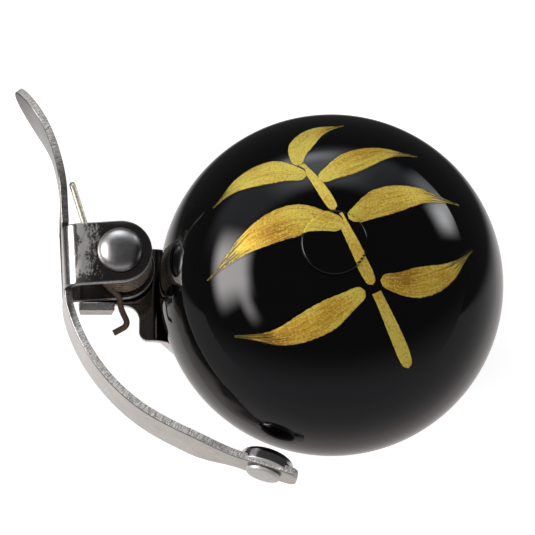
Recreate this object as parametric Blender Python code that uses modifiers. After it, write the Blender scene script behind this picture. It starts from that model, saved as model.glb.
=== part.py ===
"""Bicycle bell with a sprung lever striker and a two-part handlebar clamp.

Metres, +Z up. The origin is the middle of the handlebar that the clamp closes on. The bar runs along
Y, the dome's axis is +Z, and the lever stands at -X with its thumb paddle towards +Y.
"""

import math

import bmesh
import bpy
from mathutils import Matrix, Vector

# Clearances
SEAT = 0.00025
RUN = 0.00030

# Dome, an ellipsoid cut off under its equator
DOME_RADIUS = 0.0275
DOME_HEIGHT = 0.0244
DOME_WALL = 0.0018
DOME_RIM_DROP = 0.0145
DOME_HOLE_RADIUS = 0.0029

# Crown cap, a low screw head with a long shank
CAP_RADIUS = 0.0051
CAP_EDGE = 0.0007
CAP_CROWN = 0.0005
CAP_SHANK_RADIUS = 0.0025
CAP_SHANK_LENGTH = 0.0120

# Post under the dome
POST_RADIUS = 0.0040
POST_FLANGE_RADIUS = 0.0060
POST_FLANGE_THICKNESS = 0.0015
POST_BORE_DEPTH = 0.0115
POST_TENON_RADIUS = 0.0025
POST_TAIL_RADIUS = 0.0038
POST_TAIL_THICKNESS = 0.0009
CUSHION_RADIUS = 0.0060
CUSHION_THICKNESS = 0.0010

# Handlebar clamp
BAR_RADIUS = 0.0111
LINER_THICKNESS = 0.0012
LINER_OVERHANG = 0.0005
BAND_THICKNESS = 0.0015
BAND_WIDTH = 0.0140
BAND_BEND_RADIUS = 0.0010
SADDLE_FLAT = 0.0050
LUG_GAP = 0.0015
LUG_CORNER = 0.0040
LUG_PAST_SCREW = 0.0042
SCREW_PAST_BAR = 0.0073
SCREW_RADIUS = 0.0019
SCREW_HEAD_RADIUS = 0.0038
SCREW_HEAD_HEIGHT = 0.0024
SCREW_DRIVE_WIDTH = 0.0010
SCREW_DRIVE_SPAN = 0.0044
SCREW_DRIVE_DEPTH = 0.0013
SCREW_END = 0.0014
SCREW_HEAD_WALL = 0.35
SCREW_HEAD_NARROWING = 0.28
WASHER_RADIUS = 0.0040
WASHER_THICKNESS = 0.0008
NUT_FLATS = 0.0070
NUT_HEIGHT = 0.0032

# Bracket, one bent strap
BRACKET_THICKNESS = 0.0013
BRACKET_NEAR_EDGE = -0.00745
BRACKET_FAR_EDGE = 0.0080
BRACKET_BEND_RADIUS = 0.0015
BRACKET_EAR_DEPTH = 0.0070
RISER_UNDER_DOME = 0.00023
BRACKET_RISER_LEAN = math.radians(14.0)
EAR_PAST_PIVOT = 0.00736
BRACKET_EAR_LOW = 0.0016
STRAP_PAST_DOME = 0.00345
BRACKET_FILLET = 0.0025
BRACKET_CORNER = 0.0015
BRACKET_EAR_CORNER = 0.0030
BRACKET_END_ROUND = 0.0039
BRACKET_BASE_END = 0.0080
RIM_GAP = 0.0025

# Stop tab folded up from the bracket's ear
TAB_LENGTH = 0.0058
TAB_INSET = 0.00025
TAB_FACE = 0.00325
TAB_BEND_RADIUS = 0.0005
TAB_TOP_DEPTH = 0.0034
TAB_SLANT = 0.0005
TAB_RELIEF = 0.0007

# Pivot
PIVOT_PAST_DOME = 0.00594
PIVOT_Y = 0.00406
PIVOT_PIN_RADIUS = 0.0020
PIVOT_HEAD_RADIUS = 0.00365
PIVOT_HEAD_HEIGHT = 0.0022
PIVOT_TAIL_RADIUS = 0.0032
PIVOT_TAIL_HEIGHT = 0.0014
PIVOT_WASHER_RADIUS = 0.0045
BUSH_RADIUS = 0.00295

# Lever, one folded blank
LEVER_THICKNESS = 0.0012
LEVER_TILT = math.radians(3.7)
LEVER_PIVOT_OFFSET = 0.0086
LEVER_FOLD_HALF = 0.0030
LEVER_FOLD_RADIUS = 0.0016
EAR_RADIUS = 0.0050
EAR_RELIEF = 0.0006
STRIP_HALF = 0.0044
PADDLE_STRAIGHT = 0.0106
PADDLE_BEND_LENGTH = 0.0139
PADDLE_BEND = math.radians(30.2)
PADDLE_TIP_LENGTH = 0.0063
PADDLE_TIP_BEND = math.radians(3.8)
PADDLE_HALF = 0.0081
PADDLE_ROUND = 0.0080
PADDLE_FLARE_START = 0.0115
ARM_STRAIGHT = 0.0067
ARM_KINK_LENGTH = 0.0012
ARM_KINK = math.radians(11.3)
ARM_BEND_SHARE = 0.8727
ARM_BEND = math.radians(45.8)
ARM_SWEEP_SHARE = 0.4982
ARM_SWEEP = math.radians(11.5)
ARM_HALF = 0.0052
PAD_HALF = 0.0027
PAD_REACH = 0.0053
PAD_CORNER = 0.0015
HAMMER_RUN = 0.0042

# How far the lever's lower side stands outwards, in degrees along the strip
PADDLE_LEAN = ((-0.0220, 0.0), (-0.0120, 3.5), (-0.0050, 6.5))
ARM_LEAN = ((0.0060, 6.5), (0.0220, 4.0), (0.0350, 4.0), (0.0498, 6.5))
EAR_LEAN_REACH = 0.0050

# Hammer, a rivet whose domed head is slotted to sit over the strip
HAMMER_RADIUS = 0.00425
HAMMER_HEIGHT = 0.0019
HAMMER_EDGE = 0.0004
HAMMER_SKIRT = 0.0010
HAMMER_PIN_RADIUS = 0.0017
HAMMER_TAIL_RADIUS = 0.0029
HAMMER_TAIL_HEIGHT = 0.0006

# Return spring
WIRE_RADIUS = 0.0005
COIL_RADIUS = 0.0041
COIL_PITCH = 0.00146
COIL_TURNS = 5
COIL_POINTS = 9
COIL_START = math.radians(197.6)
COIL_END = math.radians(225.0)
LEG_BEND_RADIUS = 0.0011
SPRING_TIP_HOOK = 0.0026
LEG_REST = Vector((0.0002, 0.0, -0.00065))
LEG_KNEE = Vector((0.0013, -0.0028, 0.0))
LEG_FOOT = Vector((-0.0024, -0.00134, 0.0))

# Heights and places that follow from the sizes above
BAND_INNER = BAR_RADIUS + LINER_THICKNESS + SEAT
CLAMP_SCREW_X = BAR_RADIUS + SCREW_PAST_BAR
LUG_REACH = CLAMP_SCREW_X + LUG_PAST_SCREW
SADDLE_TOP = BAND_INNER + BAND_THICKNESS
BASE_TOP = SADDLE_TOP + SEAT + BRACKET_THICKNESS
DOME_CENTRE = BASE_TOP + RIM_GAP + DOME_RIM_DROP
EAR_HALF_SPAN = LEVER_FOLD_HALF + LEVER_FOLD_RADIUS + LEVER_THICKNESS
BRACKET_EAR_TOP = DOME_CENTRE - BRACKET_EAR_DEPTH
BRACKET_RISER_X = RISER_UNDER_DOME - DOME_RADIUS
BRACKET_STRAP_LEFT = -DOME_RADIUS - STRAP_PAST_DOME
PIVOT_X = -DOME_RADIUS - PIVOT_PAST_DOME
BRACKET_EAR_LEFT = PIVOT_X - EAR_PAST_PIVOT
PIVOT = Vector((PIVOT_X, PIVOT_Y, DOME_CENTRE))
ARM_BEND_LENGTH = DOME_RADIUS * ARM_BEND_SHARE
ARM_SWEEP_LENGTH = DOME_RADIUS * ARM_SWEEP_SHARE

DOME_LIP = DOME_WALL / 2.0

ROUND_STEPS = 28
DOME_STEPS = 60
FOLD_CUTS = 4
BEND_STEP = math.radians(5.0)
SHARP_ANGLE = math.radians(32.0)
MERGE = 0.000002

FINISHES = {
    "black_lacquer": ((0.006, 0.006, 0.007), 0.10, 0.0),
    "bright_nickel": ((0.66, 0.65, 0.63), 0.24, 1.0),
    "dark_plate": ((0.20, 0.19, 0.18), 0.22, 1.0),
    "polished_steel": ((0.72, 0.72, 0.71), 0.14, 1.0),
    "bronze_wire": ((0.42, 0.34, 0.24), 0.28, 1.0),
    "brass": ((0.70, 0.52, 0.24), 0.26, 1.0),
    "zinc": ((0.60, 0.61, 0.62), 0.30, 1.0),
    "nylon": ((0.80, 0.79, 0.75), 0.50, 0.0),
    "rubber": ((0.03, 0.03, 0.03), 0.75, 0.0),
}


def clear_scene():
    """Removes every object that the file opened with."""
    for obj in list(bpy.data.objects):
        bpy.data.objects.remove(obj, do_unlink=True)


def make_collection(name):
    """Makes a collection in the scene."""
    group = bpy.data.collections.new(name)
    bpy.context.scene.collection.children.link(group)
    return group


def make_material(name):
    """Makes one piece's Principled material from the table of finishes."""
    colour, roughness, metallic = FINISHES[name]
    material = bpy.data.materials.new(name)
    material.use_nodes = True
    shader = material.node_tree.nodes["Principled BSDF"]
    shader.inputs["Base Color"].default_value = (*colour, 1.0)
    shader.inputs["Roughness"].default_value = roughness
    shader.inputs["Metallic"].default_value = metallic
    return material


def add_piece(name, mesh, finish, origin=(0.0, 0.0, 0.0), parent=None):
    """Links a mesh as a named piece whose origin is the given world point."""
    mesh.name = name
    mesh.materials.clear()
    mesh.materials.append(make_material(finish))
    mesh.shade_smooth()
    mesh.set_sharp_from_angle(angle=SHARP_ANGLE)
    piece = bpy.data.objects.new(name, mesh)
    PARTS.objects.link(piece)
    piece.location = origin
    if parent is not None:
        piece.parent = parent
        piece.location = Vector(origin) - parent.location
    return piece


def arc(centre, radius, start, end, count):
    """Gives points along an arc in a plane, both ends included."""
    points = []
    for i in range(count + 1):
        angle = start + (end - start) * i / count
        points.append((centre[0] + radius * math.cos(angle), centre[1] + radius * math.sin(angle)))
    return points


def circle(centre, radius, count=24):
    """Gives the points of a full circle without repeating the first."""
    return arc(centre, radius, 0.0, 2.0 * math.pi, count)[:-1]


def ease(share):
    """Turns a share from 0 to 1 into a smooth start and stop."""
    share = min(1.0, max(0.0, share))
    return share * share * (3.0 - 2.0 * share)


def add_turned(name, profile, finish, origin, steps=ROUND_STEPS, closed=False, turn=None, parent=None):
    """Adds a piece turned about Z, kept as its profile of (radius, height) with a Screw modifier."""
    mesh = bpy.data.meshes.new(name)
    edges = [(i, i + 1) for i in range(len(profile) - 1)]
    if closed:
        edges.append((len(profile) - 1, 0))
    mesh.from_pydata([(radius, 0.0, height) for radius, height in profile], edges, [])
    piece = add_piece(name, mesh, finish, origin, parent)
    if turn is not None:
        piece.rotation_euler = turn
    screw = piece.modifiers.new("turn", "SCREW")
    screw.steps = steps
    screw.render_steps = steps
    screw.use_merge_vertices = True
    screw.merge_threshold = MERGE
    screw.use_smooth_shade = True
    return piece


def flat_mesh(outline, holes, thickness):
    """Cuts a flat plate from a filled 2D curve, centred on its own mid-plane."""
    curve = bpy.data.curves.new("blank", "CURVE")
    curve.dimensions = "2D"
    curve.fill_mode = "BOTH"
    curve.extrude = thickness / 2.0
    for loop in [outline, *holes]:
        spline = curve.splines.new("POLY")
        spline.points.add(len(loop) - 1)
        spline.use_cyclic_u = True
        for point, (x, y) in zip(spline.points, loop):
            point.co = (x, y, 0.0, 1.0)
    blank = bpy.data.objects.new("blank", curve)
    CUTTERS.objects.link(blank)
    graph = bpy.context.evaluated_depsgraph_get()
    mesh = bpy.data.meshes.new_from_object(blank.evaluated_get(graph))
    bpy.data.objects.remove(blank, do_unlink=True)
    shape = bmesh.new()
    shape.from_mesh(mesh)
    bmesh.ops.remove_doubles(shape, verts=shape.verts, dist=MERGE)
    return mesh, shape


def finish_shape(mesh, shape):
    """Writes an edited shape back to its mesh with triangles that face outwards."""
    bmesh.ops.triangulate(shape, faces=shape.faces)
    bmesh.ops.recalc_face_normals(shape, faces=shape.faces)
    shape.to_mesh(mesh)
    shape.free()
    return mesh


class SheetRoute:
    """A bent sheet's middle line: straight runs and arcs ahead of an anchor and behind it.

    Each run is a length and the angle that it turns through, positive to the left.
    """

    def __init__(self, anchor, heading, ahead, behind=()):
        self.anchor = anchor
        self.heading = heading
        self.ahead = ahead
        self.behind = behind

    def walk(self, runs, heading, distance):
        """Follows the runs for a distance and gives the place and heading there."""
        x, y = self.anchor
        for index, (length, turn) in enumerate(runs):
            last = index == len(runs) - 1
            step = distance if last else min(distance, length)
            angle = turn * step / length
            if abs(angle) < 1e-9:
                x += step * math.cos(heading)
                y += step * math.sin(heading)
            else:
                radius = step / angle
                x += radius * (math.sin(heading + angle) - math.sin(heading))
                y += radius * (math.cos(heading) - math.cos(heading + angle))
            heading += angle
            distance -= step
            if distance <= 0.0:
                break
        return x, y, heading

    def place(self, distance):
        """Gives the place and heading at a signed distance from the anchor."""
        if distance >= 0.0:
            return self.walk(self.ahead, self.heading, distance)
        x, y, heading = self.walk(self.behind, self.heading + math.pi, -distance)
        return x, y, heading - math.pi

    def cuts(self):
        """Gives the distances where a flat blank is cut across so that it can bend."""
        found = []
        for runs, sign in ((self.ahead, 1.0), (self.behind, -1.0)):
            distance = 0.0
            for length, turn in runs:
                count = math.ceil(abs(turn) / BEND_STEP)
                if count:
                    found += [sign * (distance + length * i / count) for i in range(count + 1)]
                distance += length
        return found


class SideFold:
    """A stretch of a blank's edge that folds up towards the sheet's left side."""

    def __init__(self, start, end, side, line, radius):
        self.start = start
        self.end = end
        self.side = side
        self.line = line
        self.radius = radius
        self.bend = radius * 0.5 * math.pi

    def holds(self, along, across):
        """Tells whether a point of the flat blank lies in the fold or past it."""
        return self.start - MERGE <= along <= self.end + MERGE and across * self.side > self.line

    def raise_point(self, across, height):
        """Gives how far a point rises off the sheet and how far it lies across it."""
        past = across * self.side - self.line
        angle = min(past, self.bend) / self.radius
        rise = self.radius * (1.0 - math.cos(angle)) + height * math.cos(angle)
        reach = self.line + self.radius * math.sin(angle) - height * math.sin(angle)
        return rise + max(0.0, past - self.bend), self.side * reach


def folded_mesh(outline, holes, thickness, route, folds=(), upright=False, lean=None):
    """Cuts a flat blank, folds up its sides and bends it along its route.

    The blank lies along its first axis. An upright sheet bends in the XY plane with its width along
    Z, and any other bends in the XZ plane with its width along Y. A lean gives each point an extra rise.
    """
    mesh, shape = flat_mesh(outline, holes, thickness)
    for distance in route.cuts():
        geometry = list(shape.verts) + list(shape.edges) + list(shape.faces)
        bmesh.ops.bisect_plane(shape, geom=geometry, dist=MERGE, plane_co=(distance, 0.0, 0.0),
                               plane_no=(1.0, 0.0, 0.0))
    for fold in folds:
        for i in range(FOLD_CUTS + 1):
            line = fold.side * (fold.line + fold.bend * i / FOLD_CUTS)
            faces = [face for face in shape.faces
                     if fold.start - MERGE <= face.calc_center_median().x <= fold.end + MERGE]
            edges = {edge for face in faces for edge in face.edges}
            corners = {corner for face in faces for corner in face.verts}
            bmesh.ops.bisect_plane(shape, geom=[*corners, *edges, *faces], dist=MERGE,
                                   plane_co=(0.0, line, 0.0), plane_no=(0.0, 1.0, 0.0))
    for corner in shape.verts:
        along, across, height = corner.co
        for fold in folds:
            if fold.holds(along, across):
                height, across = fold.raise_point(across, height)
                break
        if lean is not None:
            height += lean(along, across, height)
        x, y, heading = route.place(along)
        x -= height * math.sin(heading)
        y += height * math.cos(heading)
        corner.co = (x, y, across) if upright else (x, across, y)
    return finish_shape(mesh, shape)


def dome_height_at(radius, skin=0.0):
    """Gives the dome's height at a radius, less a skin taken off all round."""
    share = radius / (DOME_RADIUS - skin)
    return (DOME_HEIGHT - skin) * math.sqrt(max(0.0, 1.0 - share * share))


def dome_arc(skin, count):
    """Gives the dome's curve from its crown hole down to its rim."""
    top = math.acos(DOME_HOLE_RADIUS / (DOME_RADIUS - skin))
    bottom = -math.asin((DOME_RIM_DROP - DOME_LIP) / (DOME_HEIGHT - skin))
    points = []
    for i in range(count + 1):
        angle = top + (bottom - top) * i / count
        points.append(((DOME_RADIUS - skin) * math.cos(angle), (DOME_HEIGHT - skin) * math.sin(angle)))
    return points


def make_dome():
    """Makes the bell's dome, open below, with a rounded rim and a hole at the crown."""
    outer = dome_arc(0.0, 20)
    inner = dome_arc(DOME_WALL, 14)
    lip_outer, lip_inner = outer[-1][0], inner[-1][0]
    middle = (lip_outer + lip_inner) / 2.0
    half = (lip_outer - lip_inner) / 2.0
    lip = []
    for i in range(1, 4):
        angle = math.pi * i / 4
        lip.append((middle + half * math.cos(angle), -(DOME_RIM_DROP - DOME_LIP) - DOME_LIP * math.sin(angle)))
    profile = outer + lip + inner[::-1]
    return add_turned("bell_dome", profile, "black_lacquer", (0.0, 0.0, DOME_CENTRE), DOME_STEPS, closed=True)


def make_crown_cap():
    """Makes the screw that holds the dome, with a low domed head that shows at the crown."""
    under = []
    for i in range(5):
        radius = CAP_RADIUS - (CAP_RADIUS - CAP_SHANK_RADIUS) * i / 4
        under.append((radius, dome_height_at(max(radius, DOME_HOLE_RADIUS)) + SEAT))
    edge_top = under[0][1] + CAP_EDGE
    bevel = CAP_EDGE * 0.3
    head = [(0.0, edge_top + CAP_CROWN)]
    for i in range(1, 7):
        share = i / 6
        radius = (CAP_RADIUS - bevel) * share
        head.append((radius, edge_top + CAP_CROWN * (1.0 - share * share)))
    head.append((CAP_RADIUS, edge_top - bevel))
    end = under[-1][1] - CAP_SHANK_LENGTH
    shank = [(CAP_SHANK_RADIUS, end + bevel), (CAP_SHANK_RADIUS - bevel, end), (0.0, end)]
    return add_turned("crown_cap", head + under + shank, "black_lacquer", (0.0, 0.0, DOME_CENTRE))


def cushion_top(radius):
    """Gives the height over the dome's centre where the cushion meets the inside of the dome."""
    return dome_height_at(radius, DOME_WALL) - SEAT


def make_cushion():
    """Makes the nylon washer between the post and the inside of the dome."""
    bore = CAP_SHANK_RADIUS + RUN
    top = []
    for i in range(5):
        radius = bore + (CUSHION_RADIUS - bore) * i / 4
        top.append((radius, cushion_top(radius)))
    low = cushion_top(CUSHION_RADIUS) - CUSHION_THICKNESS
    profile = top + [(CUSHION_RADIUS, low), (bore, low)]
    return add_turned("dome_cushion", profile, "nylon", (0.0, 0.0, DOME_CENTRE), closed=True)


def make_post():
    """Makes the post: a tapped upright, a flange on the bracket and a tenon peened under the saddle."""
    top = DOME_CENTRE + cushion_top(CUSHION_RADIUS) - CUSHION_THICKNESS - SEAT
    bore = CAP_SHANK_RADIUS + RUN
    floor = top - POST_BORE_DEPTH
    foot = BASE_TOP + SEAT
    tail = BAND_INNER - SEAT
    profile = [
        (0.0, floor), (bore, floor), (bore, top), (POST_RADIUS - RUN, top), (POST_RADIUS, top - RUN),
        (POST_RADIUS, foot + POST_FLANGE_THICKNESS), (POST_FLANGE_RADIUS, foot + POST_FLANGE_THICKNESS),
        (POST_FLANGE_RADIUS, foot), (POST_TENON_RADIUS, foot), (POST_TENON_RADIUS, tail),
        (POST_TAIL_RADIUS, tail), (POST_TAIL_RADIUS - RUN, tail - POST_TAIL_THICKNESS + SEAT / 2.0),
        (POST_TENON_RADIUS, tail - POST_TAIL_THICKNESS), (0.0, tail - POST_TAIL_THICKNESS),
    ]
    return add_turned("post", profile, "zinc", (0.0, 0.0, 0.0))


def bracket_route():
    """Gives the bracket's middle line from the ear to the base, and how long it is."""
    half_sheet = BRACKET_THICKNESS / 2.0
    bend = BRACKET_BEND_RADIUS + half_sheet
    turn = 0.5 * math.pi - BRACKET_RISER_LEAN
    tangent = bend * math.tan(turn / 2.0)
    height = BRACKET_EAR_TOP - BASE_TOP
    ear_run = BRACKET_RISER_X - tangent - BRACKET_EAR_LEFT
    fall = height / math.cos(BRACKET_RISER_LEAN) - 2.0 * tangent
    base_run = BRACKET_BASE_END - (BRACKET_RISER_X + height * math.tan(BRACKET_RISER_LEAN) + tangent)
    runs = [(ear_run, 0.0), (bend * turn, -turn), (fall, 0.0), (bend * turn, turn), (base_run, 0.0)]
    route = SheetRoute((BRACKET_EAR_LEFT, BRACKET_EAR_TOP - half_sheet), 0.0, runs)
    return route, sum(length for length, angle in runs)


def tab_fold():
    """Gives the fold of the stop tab and the place of its tip on the flat blank."""
    half_sheet = BRACKET_THICKNESS / 2.0
    bend = TAB_BEND_RADIUS + half_sheet
    line = TAB_FACE - half_sheet - bend
    rise = BRACKET_EAR_DEPTH + half_sheet - TAB_TOP_DEPTH - bend
    fold = SideFold(TAB_INSET, TAB_INSET + TAB_LENGTH, -1.0, line, bend)
    return fold, -(line + fold.bend + rise)


def make_bracket():
    """Makes the bracket: lever ear with its stop tab, riser beside the rim, base under the dome."""
    route, end = bracket_route()
    fold, tab_tip = tab_fold()
    near, far = BRACKET_NEAR_EDGE, BRACKET_FAR_EDGE
    strap_left = BRACKET_STRAP_LEFT - BRACKET_EAR_LEFT
    corner, ear_corner, end_round = BRACKET_CORNER, BRACKET_EAR_CORNER, BRACKET_END_ROUND
    outline = [
        (0.0, -fold.line), (fold.start, -fold.line), (fold.start, tab_tip), (fold.end, tab_tip),
        (fold.end - TAB_SLANT, -fold.line - fold.bend), (fold.end - TAB_SLANT, -fold.line),
        (fold.end + TAB_RELIEF, -fold.line), (fold.end + TAB_RELIEF, -BRACKET_EAR_LOW),
    ]
    outline += arc((strap_left - BRACKET_FILLET, -BRACKET_EAR_LOW - BRACKET_FILLET), BRACKET_FILLET,
                   0.5 * math.pi, 0.0, 6)
    outline += arc((strap_left + corner, near + corner), corner, math.pi, 1.5 * math.pi, 5)
    outline += arc((end - end_round, near + end_round), end_round, -0.5 * math.pi, 0.0, 6)
    outline += arc((end - end_round, far - end_round), end_round, 0.0, 0.5 * math.pi, 6)
    outline += arc((ear_corner, far - ear_corner), ear_corner, 0.5 * math.pi, math.pi, 6)
    holes = [circle((PIVOT_X - BRACKET_EAR_LEFT, PIVOT_Y), PIVOT_PIN_RADIUS + RUN),
             circle((end - BRACKET_BASE_END, 0.0), POST_TENON_RADIUS + RUN)]
    mesh = folded_mesh(outline, holes, BRACKET_THICKNESS, route, [fold])
    return add_piece("bracket", mesh, "dark_plate")


def lever_route():
    """Gives the lever's middle line, from the hammer up past the pivot to the thumb paddle."""
    facing = Vector((math.cos(LEVER_TILT), math.sin(LEVER_TILT)))
    anchor = -LEVER_PIVOT_OFFSET * facing
    return SheetRoute((anchor.x, anchor.y), LEVER_TILT - 0.5 * math.pi, [
        (ARM_STRAIGHT, 0.0), (ARM_KINK_LENGTH, ARM_KINK), (ARM_BEND_LENGTH, ARM_BEND),
        (ARM_SWEEP_LENGTH, ARM_SWEEP), (HAMMER_RUN + PAD_REACH, 0.0),
    ], [
        (PADDLE_STRAIGHT, 0.0), (PADDLE_BEND_LENGTH, PADDLE_BEND), (PADDLE_TIP_LENGTH, PADDLE_TIP_BEND),
    ])


def hammer_distance():
    """Gives how far along the lever's arm the hammer's hole is."""
    return ARM_STRAIGHT + ARM_KINK_LENGTH + ARM_BEND_LENGTH + ARM_SWEEP_LENGTH + HAMMER_RUN


def lever_half_width(distance):
    """Gives half the width of the strip between the paddle's round tip and the hammer."""
    if distance < 0.0:
        tip = PADDLE_STRAIGHT + PADDLE_BEND_LENGTH + PADDLE_TIP_LENGTH - PADDLE_ROUND
        share = ease((-distance - PADDLE_FLARE_START) / (tip - PADDLE_FLARE_START))
        return STRIP_HALF + (PADDLE_HALF - STRIP_HALF) * share
    swell = ARM_STRAIGHT + ARM_BEND_LENGTH / 2.0
    taper = ARM_STRAIGHT + ARM_BEND_LENGTH + ARM_SWEEP_LENGTH / 2.0
    if distance < taper:
        return STRIP_HALF + (ARM_HALF - STRIP_HALF) * ease((distance - EAR_RADIUS) / (swell - EAR_RADIUS))
    pad = hammer_distance() - HAMMER_RADIUS
    return ARM_HALF + (PAD_HALF - ARM_HALF) * ease((distance - taper) / (pad - taper))


def lean_angle(distance):
    """Gives how far the strip leans at a distance along it."""
    stations = PADDLE_LEAN + ARM_LEAN
    if distance <= stations[0][0]:
        return math.radians(stations[0][1])
    for (start, low), (end, high) in zip(stations, stations[1:]):
        if distance <= end:
            return math.radians(low + (high - low) * ease((distance - start) / (end - start)))
    return math.radians(stations[-1][1])


def lever_lean(along, across, height):
    """Gives the rise of a point of the lean strip, whose upper edge stays and whose ears stay at the pin."""
    hold = 1.0 - ease((height - LEVER_THICKNESS / 2.0) / EAR_LEAN_REACH)
    return -math.tan(lean_angle(along)) * (lever_half_width(along) - across) * hold


def widths_between(start, end, count):
    """Gives points along one edge of the strip, the first left out."""
    points = []
    for i in range(1, count + 1):
        along = start + (end - start) * i / count
        points.append((along, lever_half_width(along)))
    return points


def lever_side():
    """Gives one edge of the lever's blank, from the paddle's tip to the hammer's end, and the pin's place."""
    fold = LEVER_FOLD_RADIUS + LEVER_THICKNESS / 2.0
    ear_out = LEVER_FOLD_HALF + LEVER_PIVOT_OFFSET + fold * (0.5 * math.pi - 1.0)
    tip = -(PADDLE_STRAIGHT + PADDLE_BEND_LENGTH + PADDLE_TIP_LENGTH)
    points = []
    for i in range(1, 11):
        angle = 0.5 * math.pi * i / 10
        points.append((tip + PADDLE_ROUND * (1.0 - math.cos(angle)), PADDLE_HALF * math.sin(angle)))
    notch = LEVER_FOLD_HALF - EAR_RELIEF / 2.0
    beside = EAR_RADIUS + EAR_RELIEF
    points += widths_between(tip + PADDLE_ROUND, -beside, 12)
    points += [(-beside, notch), (-EAR_RADIUS, notch)]
    points += arc((0.0, ear_out), EAR_RADIUS, math.pi, 0.0, 16)
    points += [(EAR_RADIUS, notch), (beside, notch), (beside, lever_half_width(beside))]
    points += widths_between(beside, hammer_distance(), 20)
    points += arc((hammer_distance() + PAD_REACH - PAD_CORNER, PAD_HALF - PAD_CORNER), PAD_CORNER,
                  0.5 * math.pi, 0.0, 5)
    return points, ear_out


def make_lever(pivot):
    """Makes the lever: a thumb paddle, two ears folded round the pivot and the curved hammer arm."""
    side, ear_out = lever_side()
    fold = LEVER_FOLD_RADIUS + LEVER_THICKNESS / 2.0
    tip = -(PADDLE_STRAIGHT + PADDLE_BEND_LENGTH + PADDLE_TIP_LENGTH)
    outline = [(tip, 0.0), *side]
    outline += [(along, -across) for along, across in reversed(side)]
    pin = PIVOT_PIN_RADIUS + RUN
    holes = [circle((0.0, ear_out), pin), circle((0.0, -ear_out), pin),
             circle((hammer_distance(), 0.0), HAMMER_PIN_RADIUS + SEAT, 16)]
    folds = [SideFold(-EAR_RADIUS, EAR_RADIUS, side_sign, LEVER_FOLD_HALF, fold) for side_sign in (1.0, -1.0)]
    mesh = folded_mesh(outline, holes, LEVER_THICKNESS, lever_route(), folds, upright=True, lean=lever_lean)
    return add_piece("lever", mesh, "bright_nickel", PIVOT, pivot)


def make_hammer(pivot):
    """Makes the hammer: a domed rivet whose slotted head faces the dome's axis."""
    x, y, heading = lever_route().place(hammer_distance())
    half_sheet = LEVER_THICKNESS / 2.0
    base = half_sheet + SEAT
    tail = -half_sheet - SEAT
    tail_end = tail - HAMMER_TAIL_HEIGHT
    profile = [(0.0, base + HAMMER_HEIGHT)]
    for i in range(1, 9):
        angle = 0.5 * math.pi * (1.0 - i / 8)
        profile.append((HAMMER_RADIUS * math.cos(angle),
                        base + HAMMER_EDGE + (HAMMER_HEIGHT - HAMMER_EDGE) * math.sin(angle)))
    profile += [
        (HAMMER_RADIUS, base - HAMMER_SKIRT), (HAMMER_PIN_RADIUS, base - HAMMER_SKIRT),
        (HAMMER_PIN_RADIUS, tail), (HAMMER_TAIL_RADIUS, tail),
        (HAMMER_TAIL_RADIUS - HAMMER_TAIL_HEIGHT / 2.0, tail_end), (0.0, tail_end),
    ]
    rise = lever_lean(hammer_distance(), 0.0, 0.0)
    origin = PIVOT + Vector((x - rise * math.sin(heading), y + rise * math.cos(heading), 0.0))
    turn = (0.5 * math.pi + lean_angle(hammer_distance()), 0.0, heading + math.pi)
    hammer = add_turned("hammer", profile, "polished_steel", origin, turn=turn, parent=pivot)

    reach, half, depth = HAMMER_RADIUS * 1.2, PAD_HALF + SEAT, HAMMER_SKIRT * 1.5
    corners = [(-reach, -half), (reach, -half), (reach, half), (-reach, half)]
    mesh, shape = flat_mesh(corners, [circle((0.0, 0.0), HAMMER_PIN_RADIUS + SEAT / 2.0)], depth)
    bmesh.ops.translate(shape, vec=(0.0, 0.0, base - depth / 2.0), verts=shape.verts)
    add_cut(hammer, add_cutter("hammer_slot", finish_shape(mesh, shape), origin, turn))
    return hammer


def make_pivot_rivet():
    """Makes the rivet that the lever turns on, fixed in the bracket's ear."""
    head = EAR_HALF_SPAN + SEAT
    low = -BRACKET_EAR_DEPTH - BRACKET_THICKNESS - SEAT
    profile = []
    for i in range(9):
        angle = 0.5 * math.pi * (1.0 - i / 8)
        profile.append((PIVOT_HEAD_RADIUS * math.cos(angle), head + PIVOT_HEAD_HEIGHT * math.sin(angle)))
    profile[0] = (0.0, head + PIVOT_HEAD_HEIGHT)
    profile += [(PIVOT_PIN_RADIUS, head), (PIVOT_PIN_RADIUS, low), (PIVOT_TAIL_RADIUS, low),
                (PIVOT_TAIL_RADIUS, low - PIVOT_TAIL_HEIGHT / 2.0),
                (PIVOT_TAIL_RADIUS / 2.0, low - PIVOT_TAIL_HEIGHT), (0.0, low - PIVOT_TAIL_HEIGHT)]
    return add_turned("pivot_rivet", profile, "polished_steel", PIVOT)


def ring_profile(outer, inner, top, bottom):
    """Gives the closed profile of a plain ring."""
    return [(inner, top), (outer, top), (outer, bottom), (inner, bottom)]


def make_bush():
    """Makes the tube inside the spring that keeps the lever's ears apart."""
    half = LEVER_FOLD_HALF + LEVER_FOLD_RADIUS - SEAT
    profile = ring_profile(BUSH_RADIUS, PIVOT_PIN_RADIUS + RUN, half, -half)
    return add_turned("pivot_bush", profile, "brass", PIVOT, closed=True)


def make_pivot_washer():
    """Makes the washer between the lever's lower ear and the bracket's ear."""
    top = -EAR_HALF_SPAN - SEAT
    bottom = -BRACKET_EAR_DEPTH + SEAT
    profile = ring_profile(PIVOT_WASHER_RADIUS, PIVOT_PIN_RADIUS + RUN, top, bottom)
    return add_turned("pivot_washer", profile, "brass", PIVOT, closed=True)


def rounded_route(corners, radius, steps=3):
    """Rounds the corners of a route through points in space."""
    points = [corners[0]]
    for before, corner, after in zip(corners, corners[1:], corners[2:]):
        back, on = (before - corner), (after - corner)
        reach = min(radius, back.length * 0.45, on.length * 0.45)
        start, end = corner + back.normalized() * reach, corner + on.normalized() * reach
        for i in range(steps + 1):
            share = i / steps
            points.append(start.lerp(corner, share).lerp(corner.lerp(end, share), share))
    points.append(corners[-1])
    return points


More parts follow.
